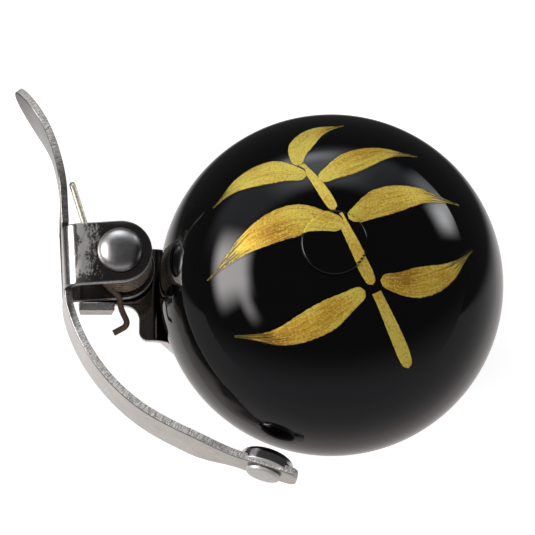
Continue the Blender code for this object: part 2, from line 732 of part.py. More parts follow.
def coil_route():
    """Gives the coil's points from its upper end to its lower one."""
    sweep = COIL_TURNS * 2.0 * math.pi + COIL_END - COIL_START
    drop = COIL_PITCH * sweep / (2.0 * math.pi)
    count = round(COIL_POINTS * sweep / (2.0 * math.pi))
    points = []
    for i in range(count + 1):
        angle = COIL_START + sweep * i / count
        points.append(Vector((COIL_RADIUS * math.cos(angle), COIL_RADIUS * math.sin(angle),
                              drop * (0.5 - i / count))))
    return points


def spring_route():
    """Gives the spring's wire, from the hooked leg behind the paddle to the foot past the stop tab."""
    coil = coil_route()
    first, last = coil[0], coil[-1]
    upward = Vector((math.sin(COIL_START), -math.cos(COIL_START), 0.0))
    facing = Vector((math.cos(LEVER_TILT), math.sin(LEVER_TILT), 0.0))
    side_run = LEVER_PIVOT_OFFSET - LEVER_THICKNESS / 2.0 - SEAT - WIRE_RADIUS
    tip = first + upward * ((side_run + first.dot(facing)) / -upward.dot(facing))
    hook = tip - Vector((0.0, 0.0, SPRING_TIP_HOOK))
    upper = rounded_route([hook, tip, first], LEG_BEND_RADIUS)

    onward = Vector((-math.sin(COIL_END), math.cos(COIL_END), 0.0))
    leave = last + onward * WIRE_RADIUS * 3.0
    rest_x = BRACKET_EAR_LEFT + TAB_INSET + TAB_LENGTH - PIVOT_X + SEAT + WIRE_RADIUS
    crossing = Vector((rest_x, -EAR_RADIUS, last.z - WIRE_RADIUS / 3.0))
    beside = Vector((rest_x, -TAB_FACE - PIVOT_Y + WIRE_RADIUS, last.z)) + LEG_REST
    knee = beside + LEG_KNEE
    lower = rounded_route([last, leave, crossing, beside, knee, knee + LEG_FOOT], LEG_BEND_RADIUS)
    return upper[:-1] + coil + lower[1:]


def least_gap(route, skip):
    """Measures the least gap between stretches of the wire that lie more than a length apart."""
    samples, travelled = [], [0.0]
    for start, end in zip(route, route[1:]):
        samples += [start.lerp(end, i / 4) for i in range(4)]
    for start, end in zip(samples, samples[1:]):
        travelled.append(travelled[-1] + (end - start).length)
    least = math.inf
    for i, one in enumerate(samples):
        for j in range(i + 1, len(samples)):
            if travelled[j] - travelled[i] > skip:
                least = min(least, (one - samples[j]).length)
    return least - 2.0 * WIRE_RADIUS


def make_spring():
    """Makes the return spring as one unbroken wire and prints its least gap to itself."""
    route = spring_route()
    print("spring least gap to itself, mm:", round(least_gap(route, COIL_RADIUS) * 1000.0, 3))
    curve = bpy.data.curves.new("return_spring", "CURVE")
    curve.dimensions = "3D"
    curve.bevel_depth = WIRE_RADIUS
    curve.bevel_resolution = 1
    curve.use_fill_caps = True
    spline = curve.splines.new("POLY")
    spline.points.add(len(route) - 1)
    for point, place in zip(spline.points, route):
        point.co = (*place, 1.0)
    curve.materials.append(make_material("bronze_wire"))
    spring = bpy.data.objects.new("return_spring", curve)
    PARTS.objects.link(spring)
    spring.location = PIVOT
    return spring


def lug_outline(end, half):
    """Gives a strap's blank with rounded corners, running the same way both sides of its middle."""
    corner = LUG_CORNER
    outline = arc((end - corner, -half + corner), corner, -0.5 * math.pi, 0.0, 6)
    outline += arc((end - corner, half - corner), corner, 0.0, 0.5 * math.pi, 6)
    outline += arc((-end + corner, half - corner), corner, 0.5 * math.pi, math.pi, 6)
    outline += arc((-end + corner, -half + corner), corner, math.pi, 1.5 * math.pi, 6)
    return outline


def make_saddle():
    """Makes the clamp's upper half, flat on top where the bracket and the post are peened to it."""
    half_sheet = BAND_THICKNESS / 2.0
    side = BAND_INNER + half_sheet
    shoulder = side - SADDLE_FLAT
    bend = BAND_BEND_RADIUS + half_sheet
    wall = side - shoulder - LUG_GAP / 2.0 - half_sheet - bend
    lug = LUG_REACH - side - bend
    quarter = 0.5 * math.pi
    ahead = [(SADDLE_FLAT, 0.0), (shoulder * quarter, -quarter), (wall, 0.0), (bend * quarter, quarter), (lug, 0.0)]
    behind = [(length, -turn) for length, turn in ahead]
    route = SheetRoute((0.0, side), 0.0, ahead, behind)
    end = sum(length for length, turn in ahead)
    screw_at = end - (LUG_REACH - CLAMP_SCREW_X)
    holes = [circle((screw_at, 0.0), SCREW_RADIUS + RUN), circle((-screw_at, 0.0), SCREW_RADIUS + RUN),
             circle((0.0, 0.0), POST_TENON_RADIUS + RUN)]
    mesh = folded_mesh(lug_outline(end, BAND_WIDTH / 2.0), holes, BAND_THICKNESS, route)
    return add_piece("clamp_saddle", mesh, "dark_plate")


def strap_angles():
    """Gives the lower strap's middle radius, its lug bend radius and where the two meet."""
    half_sheet = BAND_THICKNESS / 2.0
    radius = BAND_INNER + half_sheet
    bend = BAND_BEND_RADIUS + half_sheet
    meet = math.asin((LUG_GAP / 2.0 + half_sheet + bend) / (radius + bend))
    return radius, bend, meet


def make_strap():
    """Makes the clamp's lower half, a half round with a lug at each side."""
    radius, bend, meet = strap_angles()
    turn = 0.5 * math.pi - meet
    lug = LUG_REACH - (radius + bend) * math.cos(meet)
    ahead = [(radius * turn, turn), (bend * turn, -turn), (lug, 0.0)]
    behind = [(length, -angle) for length, angle in ahead]
    route = SheetRoute((0.0, -radius), 0.0, ahead, behind)
    end = sum(length for length, angle in ahead)
    screw_at = end - (LUG_REACH - CLAMP_SCREW_X)
    holes = [circle((screw_at, 0.0), SCREW_RADIUS + RUN), circle((-screw_at, 0.0), SCREW_RADIUS + RUN)]
    mesh = folded_mesh(lug_outline(end, BAND_WIDTH / 2.0), holes, BAND_THICKNESS, route)
    return add_piece("clamp_strap", mesh, "dark_plate")


def liner_mesh(outline):
    """Makes a liner from its section, extruded along the bar."""
    mesh, shape = flat_mesh(outline, [], BAND_WIDTH + 2.0 * LINER_OVERHANG)
    bmesh.ops.transform(shape, matrix=Matrix.Rotation(0.5 * math.pi, 4, "X"), verts=shape.verts)
    return finish_shape(mesh, shape)


def make_saddle_liner():
    """Makes the upper rubber liner, which fills the saddle and clears the post's peened tail."""
    side = BAND_INNER - SEAT
    shoulder = side - SADDLE_FLAT
    foot = LUG_GAP / 2.0
    start = math.asin(foot / BAR_RADIUS)
    outline = [(side, foot)]
    outline += arc((SADDLE_FLAT, side - shoulder), shoulder, 0.0, 0.5 * math.pi, 12)
    outline += arc((-SADDLE_FLAT, side - shoulder), shoulder, 0.5 * math.pi, math.pi, 12)
    outline += [(-side, foot)]
    outline += arc((0.0, 0.0), BAR_RADIUS, math.pi - start, start, 28)
    liner = add_piece("saddle_liner", liner_mesh(outline), "rubber")
    cut_round(liner, POST_TAIL_RADIUS + SEAT, Vector((0.0, 0.0, SADDLE_TOP)), BAR_RADIUS)
    return liner


def make_strap_liner():
    """Makes the lower rubber liner."""
    side = BAND_INNER - SEAT
    foot = LUG_GAP / 2.0
    outer, inner = math.asin(foot / side), math.asin(foot / BAR_RADIUS)
    outline = arc((0.0, 0.0), side, math.pi + outer, 2.0 * math.pi - outer, 28)
    outline += arc((0.0, 0.0), BAR_RADIUS, 2.0 * math.pi - inner, math.pi + inner, 28)
    return add_piece("strap_liner", liner_mesh(outline), "rubber")


def add_cutter(name, mesh, place, turn=(0.0, 0.0, 0.0)):
    """Links a mesh as a hidden cutter."""
    cutter = bpy.data.objects.new(name, mesh)
    CUTTERS.objects.link(cutter)
    cutter.location = place
    cutter.rotation_euler = turn
    cutter.hide_render = True
    cutter.display_type = "WIRE"
    return cutter


def add_cut(piece, cutter):
    """Cuts a piece with a cutter."""
    cut = piece.modifiers.new(cutter.name, "BOOLEAN")
    cut.operation = "DIFFERENCE"
    cut.solver = "EXACT"
    cut.object = cutter


def cut_round(piece, radius, place, depth, steps=24):
    """Bores a round hole along Z, half of the depth each side of a place."""
    mesh = bpy.data.meshes.new(piece.name + "_bore")
    shape = bmesh.new()
    bmesh.ops.create_cone(shape, cap_ends=True, segments=steps, radius1=radius, radius2=radius, depth=depth)
    shape.to_mesh(mesh)
    shape.free()
    add_cut(piece, add_cutter(piece.name + "_bore", mesh, place))


def make_screw(name, x):
    """Makes a clamp screw, head down, with a cross recess."""
    seat = -LUG_GAP / 2.0 - BAND_THICKNESS - SEAT - WASHER_THICKNESS - SEAT
    top = LUG_GAP / 2.0 + BAND_THICKNESS + SEAT + NUT_HEIGHT + SCREW_END
    bevel = RUN
    profile = [(0.0, top), (SCREW_RADIUS - bevel, top), (SCREW_RADIUS, top - bevel), (SCREW_RADIUS, seat),
               (SCREW_HEAD_RADIUS, seat)]
    for i in range(5):
        rise = math.sin(0.5 * math.pi * i / 5)
        profile.append((SCREW_HEAD_RADIUS * (1.0 - SCREW_HEAD_NARROWING * rise ** 3),
                        seat - SCREW_HEAD_HEIGHT * (SCREW_HEAD_WALL + (1.0 - SCREW_HEAD_WALL) * rise)))
    profile.append((0.0, seat - SCREW_HEAD_HEIGHT))
    screw = add_turned(name, profile, "zinc", (x, 0.0, 0.0), 24)
    for index, size in enumerate(((SCREW_DRIVE_SPAN, SCREW_DRIVE_WIDTH), (SCREW_DRIVE_WIDTH, SCREW_DRIVE_SPAN))):
        mesh = bpy.data.meshes.new(name + "_drive")
        shape = bmesh.new()
        bmesh.ops.create_cube(shape, size=1.0)
        bmesh.ops.scale(shape, vec=(size[0], size[1], 2.0 * SCREW_DRIVE_DEPTH), verts=shape.verts)
        shape.to_mesh(mesh)
        shape.free()
        cutter = add_cutter("%s_drive_%d" % (name, index), mesh, (x, 0.0, seat - SCREW_HEAD_HEIGHT))
        add_cut(screw, cutter)
    return screw


def make_nut(name, x):
    """Makes a hexagon nut on top of a lug."""
    low = LUG_GAP / 2.0 + BAND_THICKNESS + SEAT
    mesh = bpy.data.meshes.new(name)
    shape = bmesh.new()
    corner = NUT_FLATS / math.sqrt(3.0)
    bmesh.ops.create_cone(shape, cap_ends=True, segments=6, radius1=corner, radius2=corner, depth=NUT_HEIGHT)
    shape.to_mesh(mesh)
    shape.free()
    nut = add_piece(name, mesh, "zinc", (x, 0.0, low + NUT_HEIGHT / 2.0))
    cut_round(nut, SCREW_RADIUS + RUN, nut.location, NUT_HEIGHT * 2.0, 20)
    return nut


def make_washer(name, x):
    """Makes the washer between a screw's head and the lower lug."""
    top = -LUG_GAP / 2.0 - BAND_THICKNESS - SEAT
    profile = ring_profile(WASHER_RADIUS, SCREW_RADIUS + RUN, top, top - WASHER_THICKNESS)
    return add_turned(name, profile, "zinc", (x, 0.0, 0.0), 24, closed=True)


clear_scene()
PARTS = make_collection("lever_bell")
CUTTERS = make_collection("lever_bell_cutters")

lever_pivot = bpy.data.objects.new("lever_pivot", None)
lever_pivot.empty_display_size = EAR_RADIUS
lever_pivot.location = PIVOT
PARTS.objects.link(lever_pivot)

make_dome()
make_crown_cap()
make_cushion()
make_post()
make_bracket()
make_lever(lever_pivot)
make_hammer(lever_pivot)
make_pivot_rivet()
make_bush()
make_pivot_washer()
make_spring()
make_saddle()
make_strap()
make_saddle_liner()
make_strap_liner()
for side_name, side_x in (("left", -CLAMP_SCREW_X), ("right", CLAMP_SCREW_X)):
    make_screw("clamp_screw_" + side_name, side_x)
    make_nut("clamp_nut_" + side_name, side_x)
    make_washer("clamp_washer_" + side_name, side_x)
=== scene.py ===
"""Looks of a handlebar bell: lacquered dome, gold brushwork, folded lever, sprung pivot and clamp.

Metres, +Z up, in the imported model's own frame. The handlebar runs along Y under the origin, the dome's
axis is +Z and the lever stands at -X. Sizes repeat those of the model's source.
"""

import logging
import math
from collections.abc import Callable
from dataclasses import dataclass, field
from enum import Enum
from functools import reduce
from typing import Protocol

import bmesh
import bpy
from mathutils import Matrix, Vector
from mathutils.geometry import tessellate_polygon

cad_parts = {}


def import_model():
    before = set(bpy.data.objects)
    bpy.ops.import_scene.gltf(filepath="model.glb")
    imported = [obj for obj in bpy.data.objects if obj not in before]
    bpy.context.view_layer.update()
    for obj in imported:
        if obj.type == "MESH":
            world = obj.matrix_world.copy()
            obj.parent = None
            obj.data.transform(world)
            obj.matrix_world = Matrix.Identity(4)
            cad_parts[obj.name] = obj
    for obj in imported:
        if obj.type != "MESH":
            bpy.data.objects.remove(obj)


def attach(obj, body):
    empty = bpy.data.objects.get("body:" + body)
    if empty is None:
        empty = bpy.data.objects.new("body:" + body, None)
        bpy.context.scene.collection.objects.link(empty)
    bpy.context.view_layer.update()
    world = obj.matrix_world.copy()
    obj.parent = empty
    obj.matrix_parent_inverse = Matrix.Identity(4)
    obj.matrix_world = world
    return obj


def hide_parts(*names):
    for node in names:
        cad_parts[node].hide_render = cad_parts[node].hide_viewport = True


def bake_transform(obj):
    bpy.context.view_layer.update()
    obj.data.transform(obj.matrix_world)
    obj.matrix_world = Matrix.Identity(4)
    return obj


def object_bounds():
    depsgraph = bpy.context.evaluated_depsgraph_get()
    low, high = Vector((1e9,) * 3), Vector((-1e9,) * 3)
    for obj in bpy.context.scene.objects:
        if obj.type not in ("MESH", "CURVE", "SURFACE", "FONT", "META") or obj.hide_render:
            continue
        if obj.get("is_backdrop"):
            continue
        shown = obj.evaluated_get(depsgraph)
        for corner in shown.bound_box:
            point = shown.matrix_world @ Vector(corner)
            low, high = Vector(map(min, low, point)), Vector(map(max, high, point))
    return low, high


LOG = logging.getLogger("bell")

Flat = tuple[float, float]
Triple = tuple[float, float, float]
Loop = list[Flat]
Colour = tuple[float, float, float]
Material = bpy.types.Material
Mesh = bpy.types.Mesh
Socket = bpy.types.NodeSocket
Corner = bmesh.types.BMVert

SEAT = 0.00025
RUN = 0.00030
MERGE = 0.000002
MILLIMETRES = 1000.0
QUARTER = 0.5 * math.pi
FINE_TURN = math.radians(2.0)
BLACK = (0.0, 0.0, 0.0)
WHITE = (1.0, 1.0, 1.0)
EARS = (-0.0412, -0.0402)


class Body(Enum):
    """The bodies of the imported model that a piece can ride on."""

    FRAME = "frame"
    LEVER = "lever"


class Lie(Enum):
    """How a bent sheet lies: on its edge in the XY plane, or flat in the XZ plane."""

    UPRIGHT = "upright"
    FLAT = "flat"


def arc(centre: Flat, radius: float, start: float, end: float, count: int) -> Loop:
    """Gives points along an arc from one angle to another in so many steps, both ends included."""
    angles = [start + (end - start) * i / count for i in range(count + 1)]
    return [(centre[0] + radius * math.cos(angle), centre[1] + radius * math.sin(angle)) for angle in angles]


def circle(centre: Flat, radius: float, count: int = 48) -> Loop:
    """Gives a full circle's points, the first not repeated."""
    return arc(centre, radius, 0.0, 2.0 * math.pi, count)[:-1]


def crown(radius: float, low: float, height: float, count: int = 24) -> Loop:
    """Gives a domed head's profile from its middle down to its rim.

    Args:
        radius: The head's radius.
        low: The height of its rim.
        height: How far its middle stands over the rim.
        count: How many steps it has.

    Returns:
        The profile's points.
    """
    points = [(0.0, low + height)]
    for i in range(1, count + 1):
        angle = QUARTER * (1.0 - i / count)
        points.append((radius * math.cos(angle), low + height * math.sin(angle)))
    return points


def ease(share: float) -> float:
    """Turns a share from 0 to 1 into a smooth start and stop."""
    share = min(1.0, max(0.0, share))
    return share * share * (3.0 - 2.0 * share)


def soften(route: list, radius: float, steps: int = 3, straight: float = 0.06) -> list:
    """Rounds the inner corners of an open line in the plane or in space.

    Args:
        route: The line's points, whose two ends stay.
        radius: How far from a corner its rounding starts.
        steps: How many steps each rounding has.
        straight: How nearly straight a corner is left alone.

    Returns:
        The rounded line's points.
    """
    points = [tuple(route[0])]
    for before, corner, after in zip(route, route[1:], route[2:]):
        here = Vector(corner)
        back, on = Vector(before) - here, Vector(after) - here
        bend = abs(back.normalized().dot(on.normalized()) + 1.0)
        if bend < straight or min(back.length, on.length) < MERGE:
            points.append(tuple(corner))
            continue
        reach = min(radius, back.length * 0.45, on.length * 0.45)
        start, end = here + back.normalized() * reach, here + on.normalized() * reach
        for i in range(steps + 1):
            share = i / steps
            points.append(tuple(start.lerp(here, share).lerp(here.lerp(end, share), share)))
    points.append(tuple(route[-1]))
    return points


def signed_area(loop: Loop) -> float:
    """Gives a closed loop's area, positive where it runs anticlockwise."""
    return 0.5 * sum(a[0] * b[1] - b[0] * a[1] for a, b in zip(loop, loop[1:] + loop[:1]))


def inset_loop(loop: Loop, distance: float) -> Loop:
    """Moves a closed loop's points to the left of its run.

    Args:
        loop: The loop's points.
        distance: How far each side moves.

    Returns:
        The moved loop.
    """
    moved = []
    for before, here, after in zip(loop[-1:] + loop[:-1], loop, loop[1:] + loop[:1]):
        first = Vector((here[0] - before[0], here[1] - before[1])).normalized()
        second = Vector((after[0] - here[0], after[1] - here[1])).normalized()
        left = Vector((-first.y - second.y, first.x + second.x)).normalized()
        share = distance / max(0.5, left.dot(Vector((-first.y, first.x))))
        moved.append((here[0] + left.x * share, here[1] + left.y * share))
    return moved


@dataclass(frozen=True)
class Grain:
    """A noise: how fine it is, how much detail it holds and how it is stretched."""

    scale: float
    detail: float = 3.0
    rough: float = 0.55
    stretch: Triple = (1.0, 1.0, 1.0)


@dataclass(frozen=True)
class Wash:
    """A colour that comes in as a value runs from one number to another."""

    colour: Colour
    start: float
    end: float
    share: float = 1.0
    smooth: bool = False


class NodeBench:
    """Lays out procedural nodes in a tree."""

    def __init__(self, tree: bpy.types.NodeTree) -> None:
        """Takes the tree that the nodes go into."""
        self.tree = tree

    def feed(self, socket: Socket, value: object) -> None:
        """Links a socket into another, or sets a plain value on it."""
        if isinstance(value, Socket):
            self.tree.links.new(value, socket)
        else:
            socket.default_value = value

    def add(self, kind: str, feeds: dict[str | int, object] | None = None,
            **settings: object) -> bpy.types.Node:
        """Adds a node.

        Args:
            kind: The node's type.
            feeds: What feeds its sockets, by their names or numbers.
            settings: Its own properties.

        Returns:
            The new node.
        """
        node = self.tree.nodes.new(kind)
        for name, value in settings.items():
            setattr(node, name, value)
        for socket, value in (feeds or {}).items():
            self.feed(node.inputs[socket], value)
        return node

    def place(self, stretch: Triple = (1.0, 1.0, 1.0)) -> Socket:
        """Gives the piece's own coordinates, stretched."""
        source = self.add("ShaderNodeTexCoord").outputs["Object"]
        return self.add("ShaderNodeMapping", {"Vector": source, "Scale": stretch}).outputs["Vector"]

    def axes(self, place: Socket | None = None) -> dict[str, Socket]:
        """Splits a place, or the piece's own coordinates, into X, Y and Z."""
        node = self.add("ShaderNodeSeparateXYZ", {0: self.place() if place is None else place})
        return {name: node.outputs[name] for name in "XYZ"}

    def join(self, x: Socket, y: Socket, z: Socket) -> Socket:
        """Joins three values into one place."""
        return self.add("ShaderNodeCombineXYZ", {0: x, 1: y, 2: z}).outputs[0]

    def noise(self, grain: Grain, place: Socket | None = None) -> Socket:
        """Gives a noise's value from 0 to 1 at a place, or at the piece's own coordinates."""
        where = self.place(grain.stretch) if place is None else place
        return self.add("ShaderNodeTexNoise", {"Vector": where, "Scale": grain.scale, "Detail": grain.detail,
                                               "Roughness": grain.rough}).outputs["Fac"]

    def span(self, value: Socket, low: float, high: float, start: float = 0.0, end: float = 1.0,
             smooth: bool = False) -> Socket:
        """Maps a value's range onto another and keeps it inside."""
        kind = "SMOOTHSTEP" if smooth else "LINEAR"
        return self.add("ShaderNodeMapRange", {"Value": value, "From Min": low, "From Max": high,
                                               "To Min": start, "To Max": end},
                        clamp=True, interpolation_type=kind).outputs["Result"]

    def sum(self, operation: str, first: object, second: object = 0.0) -> Socket:
        """Works out a sum of one or two values."""
        return self.add("ShaderNodeMath", {0: first, 1: second}, operation=operation).outputs["Value"]

    def product(self, *values: object) -> Socket:
        """Multiplies values in turn."""
        return reduce(lambda first, other: self.sum("MULTIPLY", first, other), values)

    def weigh(self, first: Socket, second: Socket, weights: Flat) -> Socket:
        """Adds two values, each times its weight."""
        return self.sum("ADD", self.product(first, weights[0]), self.product(second, weights[1]))

    def blend(self, share: object, first: object, second: object) -> Socket:
        """Mixes two colours by the second one's share."""
        base, over = [(*colour, 1.0) if isinstance(colour, tuple) else colour for colour in (first, second)]
        return self.add("ShaderNodeMix", {0: share, 6: base, 7: over}, data_type="RGBA").outputs[2]

    def wash(self, base: object, value: Socket, wash: Wash) -> Socket:
        """Lays a wash over a colour by a value."""
        share = self.span(value, wash.start, wash.end, 0.0, wash.share, wash.smooth)
        return self.blend(share, base, wash.colour)

    def attribute(self, name: str) -> Socket:
        """Reads a number kept on the mesh."""
        return self.add("ShaderNodeAttribute", attribute_name=name).outputs["Fac"]


class FinishBench(NodeBench):
    """Lays out the nodes of one finish's material."""

    WANDER: Flat = (0.3, 0.7)

    def __init__(self, name: str) -> None:
        """Starts a material with its shader."""
        self.material = bpy.data.materials.new(name)
        self.material.use_nodes = True
        super().__init__(self.material.node_tree)
        self.shader = self.tree.nodes["Principled BSDF"]

    def set(self, name: str, value: object) -> None:
        """Feeds one of the shader's own sockets."""
        self.feed(self.shader.inputs[name], value)

    def gloss(self, noise: Socket, middle: float, spread: Flat) -> Socket:
        """Gives a roughness that wanders with a noise, by so much below and above its middle."""
        return self.span(noise, *self.WANDER, middle - spread[0], middle + spread[1])

    def bump(self, height: Socket, strength: float, depth: float) -> None:
        """Feeds a height into the shader's normal."""
        node = self.add("ShaderNodeBump", {"Height": height, "Strength": strength, "Distance": depth})
        self.set("Normal", node.outputs["Normal"])


class Finish(Protocol):
    """A finish that builds its own material."""

    name: str

    def build(self) -> Material:
        """Builds the finish's material."""


@dataclass(frozen=True)
class BlackLacquer:
    """Deep black lacquer with a faint flow in its gloss."""

    name: str = "black_lacquer"
    colour: Colour = (0.0010, 0.0010, 0.0012)
    haze: Colour = (0.0020, 0.0019, 0.0021)
    gloss: Flat = (0.022, 0.052)
    flow: Grain = Grain(120.0, 4.0)
    breath: Grain = Grain(420.0, 5.0)
    breath_span: Flat = (0.35, 0.75)
    ripple: Grain = Grain(260.0, 2.0)
    relief: Flat = (0.02, 0.00005)
    ior: float = 1.54

    def build(self) -> Material:
        """Builds the finish's material."""
        bench = FinishBench(self.name)
        bench.set("Base Color", bench.blend(bench.noise(self.flow), self.colour, self.haze))
        bench.set("Roughness", bench.span(bench.noise(self.breath), *self.breath_span, *self.gloss))
        bench.bump(bench.noise(self.ripple), *self.relief)
        bench.set("IOR", self.ior)
        return bench.material


@dataclass(frozen=True)
class GoldBrush:
    """Gold paint laid by brush over lacquer, streaked, grainy and dry towards a stroke's tail."""

    name: str = "gold_brush"
    fleck: Colour = (1.0, 0.87, 0.30)
    pale: Colour = (1.0, 0.80, 0.13)
    middle: Colour = (0.80, 0.49, 0.045)
    deep: Colour = (0.46, 0.205, 0.014)
    lacquer: Colour = (0.0015, 0.0015, 0.0017)
    washes: tuple[tuple[Wash, Wash], ...] = (
        (Wash(pale, 0.84, 1.02, smooth=True), Wash(deep, 0.87, 0.73, 0.9, True)),
        (Wash(pale, 0.56, 0.68, 0.45), Wash(deep, 0.46, 0.34, 0.50)),
        (Wash(fleck, 0.54, 0.64, 0.70), Wash(deep, 0.46, 0.36, 0.60)),
    )
    hairs: Grain = Grain(1.6, 5.0, 0.62, (0.16, 7.5, 1.0))
    rags: Grain = Grain(1.0, 4.0, 0.7, (1.5, 3.0, 1.0))
    drift: Grain = Grain(62.0, 2.0)
    grain: Grain = Grain(3000.0, 3.0, 0.8)
    drift_weights: Flat = (1.3, 0.4)
    rag_bite: float = 0.16
    paint_load: float = 0.9
    dry_reach: float = 1.05
    dry_bite: float = 0.10
    break_up: Flat = (-0.02, 0.06)
    border: Flat = (0.0, 0.035)
    roughness: float = 0.36
    roughness_spread: Flat = (0.08, 0.10)
    lacquer_roughness: float = 0.035
    metallic: float = 0.60
    height_weights: Flat = (0.8, 0.9)
    relief: Flat = (0.9, 0.00010)
    ior: float = 1.5

    def along_stroke(self, bench: NodeBench, grain: Grain, along: Socket, across: Socket) -> Socket:
        """Reads a noise along and across a stroke, set apart from the other strokes' by the seed."""
        return bench.noise(grain, bench.join(bench.product(along, grain.stretch[0]),
                                             bench.product(across, grain.stretch[1]),
                                             bench.attribute("brush_seed")))

    def cover(self, bench: NodeBench, along: Socket, across: Socket) -> tuple[Socket, Socket]:
        """Works out where the gold covers the lacquer.

        Args:
            bench: The finish's nodes.
            along: Millimetres from the stroke's start.
            across: The share of the stroke's half width, from -1 to 1.

        Returns:
            The cover from 0 to 1, and the hairs' streaks from 0 to 1.
        """
        streak = self.along_stroke(bench, self.hairs, along, across)
        dry = bench.attribute("brush_dry")
        gap = bench.product(dry, bench.sum("SUBTRACT", self.dry_reach, streak))
        hold = bench.sum("SUBTRACT", bench.product(streak, self.paint_load), gap)
        edge = bench.sum("SUBTRACT", 1.0, bench.sum("ABSOLUTE", across))
        nibble = bench.product(self.along_stroke(bench, self.rags, along, across), self.rag_bite)
        rim = bench.sum("SUBTRACT", bench.sum("SUBTRACT", edge, nibble), bench.product(dry, self.dry_bite))
        return bench.product(bench.span(hold, *self.break_up, smooth=True),
                             bench.span(rim, *self.border, smooth=True)), streak

    def build(self) -> Material:
        """Builds the finish's material."""
        bench = FinishBench(self.name)
        cover, streak = self.cover(bench, bench.attribute("brush_along"), bench.attribute("brush_across"))
        grain = bench.noise(self.grain)
        tone = bench.weigh(bench.noise(self.drift), streak, self.drift_weights)
        gold = self.middle
        for value, washes in zip((tone, streak, grain), self.washes):
            for wash in washes:
                gold = bench.wash(gold, value, wash)
        bench.set("Base Color", bench.blend(cover, self.lacquer, gold))
        bench.set("Metallic", bench.product(cover, self.metallic))
        rough = bench.gloss(grain, self.roughness, self.roughness_spread)
        rough = bench.product(bench.sum("SUBTRACT", rough, self.lacquer_roughness), cover)
        bench.set("Roughness", bench.sum("ADD", rough, self.lacquer_roughness))
        bench.bump(bench.product(bench.weigh(grain, streak, self.height_weights), cover), *self.relief)
        bench.set("IOR", self.ior)
        return bench.material


@dataclass(frozen=True)
class SatinMetal:
    """Plated or turned metal with a fine drawn grain, cloudy gloss and small marks."""

    name: str
    colour: Colour
    shade: Colour
    roughness: float
    spread: float
    lines: Grain = Grain(900.0, 4.0, 0.65)
    relief: Flat = (0.35, 0.00002)
    metallic: float = 1.0
    cloud: Grain = Grain(170.0)
    weights: Flat = (0.6, 0.5)
    tone_span: Flat = (0.36, 0.72)
    gloss_span: Flat = (0.30, 0.78)
    marks: Grain = Grain(1900.0, 2.0, 0.5)
    mark: Triple = (0.66, 0.80, 0.35)

    def tint(self, bench: FinishBench, lines: Socket, cloud: Socket) -> Socket:
        """Gives the metal's colour by its grain and clouds."""
        tone = bench.weigh(lines, cloud, self.weights)
        return bench.blend(bench.span(tone, *self.tone_span), self.shade, self.colour)

    def gloss(self, bench: FinishBench, lines: Socket, cloud: Socket) -> Socket:
        """Gives the metal's roughness by its clouds and grain."""
        low, high = self.roughness - self.spread, self.roughness + self.spread
        return bench.span(bench.weigh(cloud, lines, self.weights), *self.gloss_span, low, high)

    def build(self) -> Material:
        """Builds the finish's material."""
        bench = FinishBench(self.name)
        lines, cloud = bench.noise(self.lines), bench.noise(self.cloud)
        tint, marks = self.tint(bench, lines, cloud), bench.noise(self.marks)
        bench.set("Base Color", bench.wash(tint, marks, Wash(self.shade, *self.mark)))
        bench.set("Roughness", self.gloss(bench, lines, cloud))
        bench.set("Metallic", self.metallic)
        bench.bump(lines, *self.relief)
        return bench.material


@dataclass(frozen=True)
class ShearedEdge:
    """A sheet's cut edge under plating: torn straight through its thickness and speckled, in a painted lit
    copy at the ears and the strip's ends and a painted shaded copy between.
    """

    name: str = "sheared_edge"
    bright: Colour = (1.0, 0.985, 0.94)
    dark: Colour = (0.26, 0.25, 0.235)
    painted_shade_bright: Colour = (0.15, 0.148, 0.14)
    painted_shade_dark: Colour = (0.022, 0.021, 0.019)
    # Where along Y the edge's painted lit copy comes in.
    lit: tuple[Flat, Flat] = ((0.0150, 0.0235), (-0.0075, -0.0190))
    tears: Grain = Grain(6.2, 3.0, 0.7)
    tear_depth: float = 0.16
    specks: Grain = Grain(9.0, 3.0, 0.7)
    speck_depth: float = 0.8
    weights: Flat = (0.55, 0.45)
    contrast: Flat = (0.43, 0.55)
    roughness: float = 0.36
    roughness_spread: Flat = (0.10, 0.14)
    metallic: float = 0.34
    relief: Flat = (1.0, 0.00034)

    def facing(self, bench: NodeBench) -> Socket:
        """Works out by place where the edge takes its painted lit copy rather than its painted shaded copy,
        from 0 to 1.

        Args:
            bench: The finish's nodes.

        Returns:
            The share.
        """
        axes = bench.axes()
        ends = bench.sum("ADD", *[bench.span(axes["Y"], *limits, smooth=True) for limits in self.lit])
        return bench.sum("MAXIMUM", ends, bench.span(axes["X"], *EARS))

    def build(self) -> Material:
        """Builds the finish's material."""
        bench = FinishBench(self.name)
        along, across, depth = [bench.attribute("sheet_" + way) for way in ("along", "across", "depth")]
        tears = bench.noise(self.tears, bench.join(along, across, bench.product(depth, self.tear_depth)))
        specks = bench.noise(self.specks, bench.join(along, across, bench.product(depth, self.speck_depth)))
        tone = bench.weigh(tears, specks, self.weights)
        grain = bench.span(tone, *self.contrast)
        # The speckle comes in a painted shaded copy and a painted lit copy, mixed by place.
        turned = bench.blend(grain, self.painted_shade_dark, self.painted_shade_bright)
        lit = bench.blend(grain, self.dark, self.bright)
        bench.set("Base Color", bench.blend(self.facing(bench), turned, lit))
        bench.set("Roughness", bench.gloss(specks, self.roughness, self.roughness_spread))
        bench.set("Metallic", self.metallic)
        bench.bump(tone, *self.relief)
        return bench.material


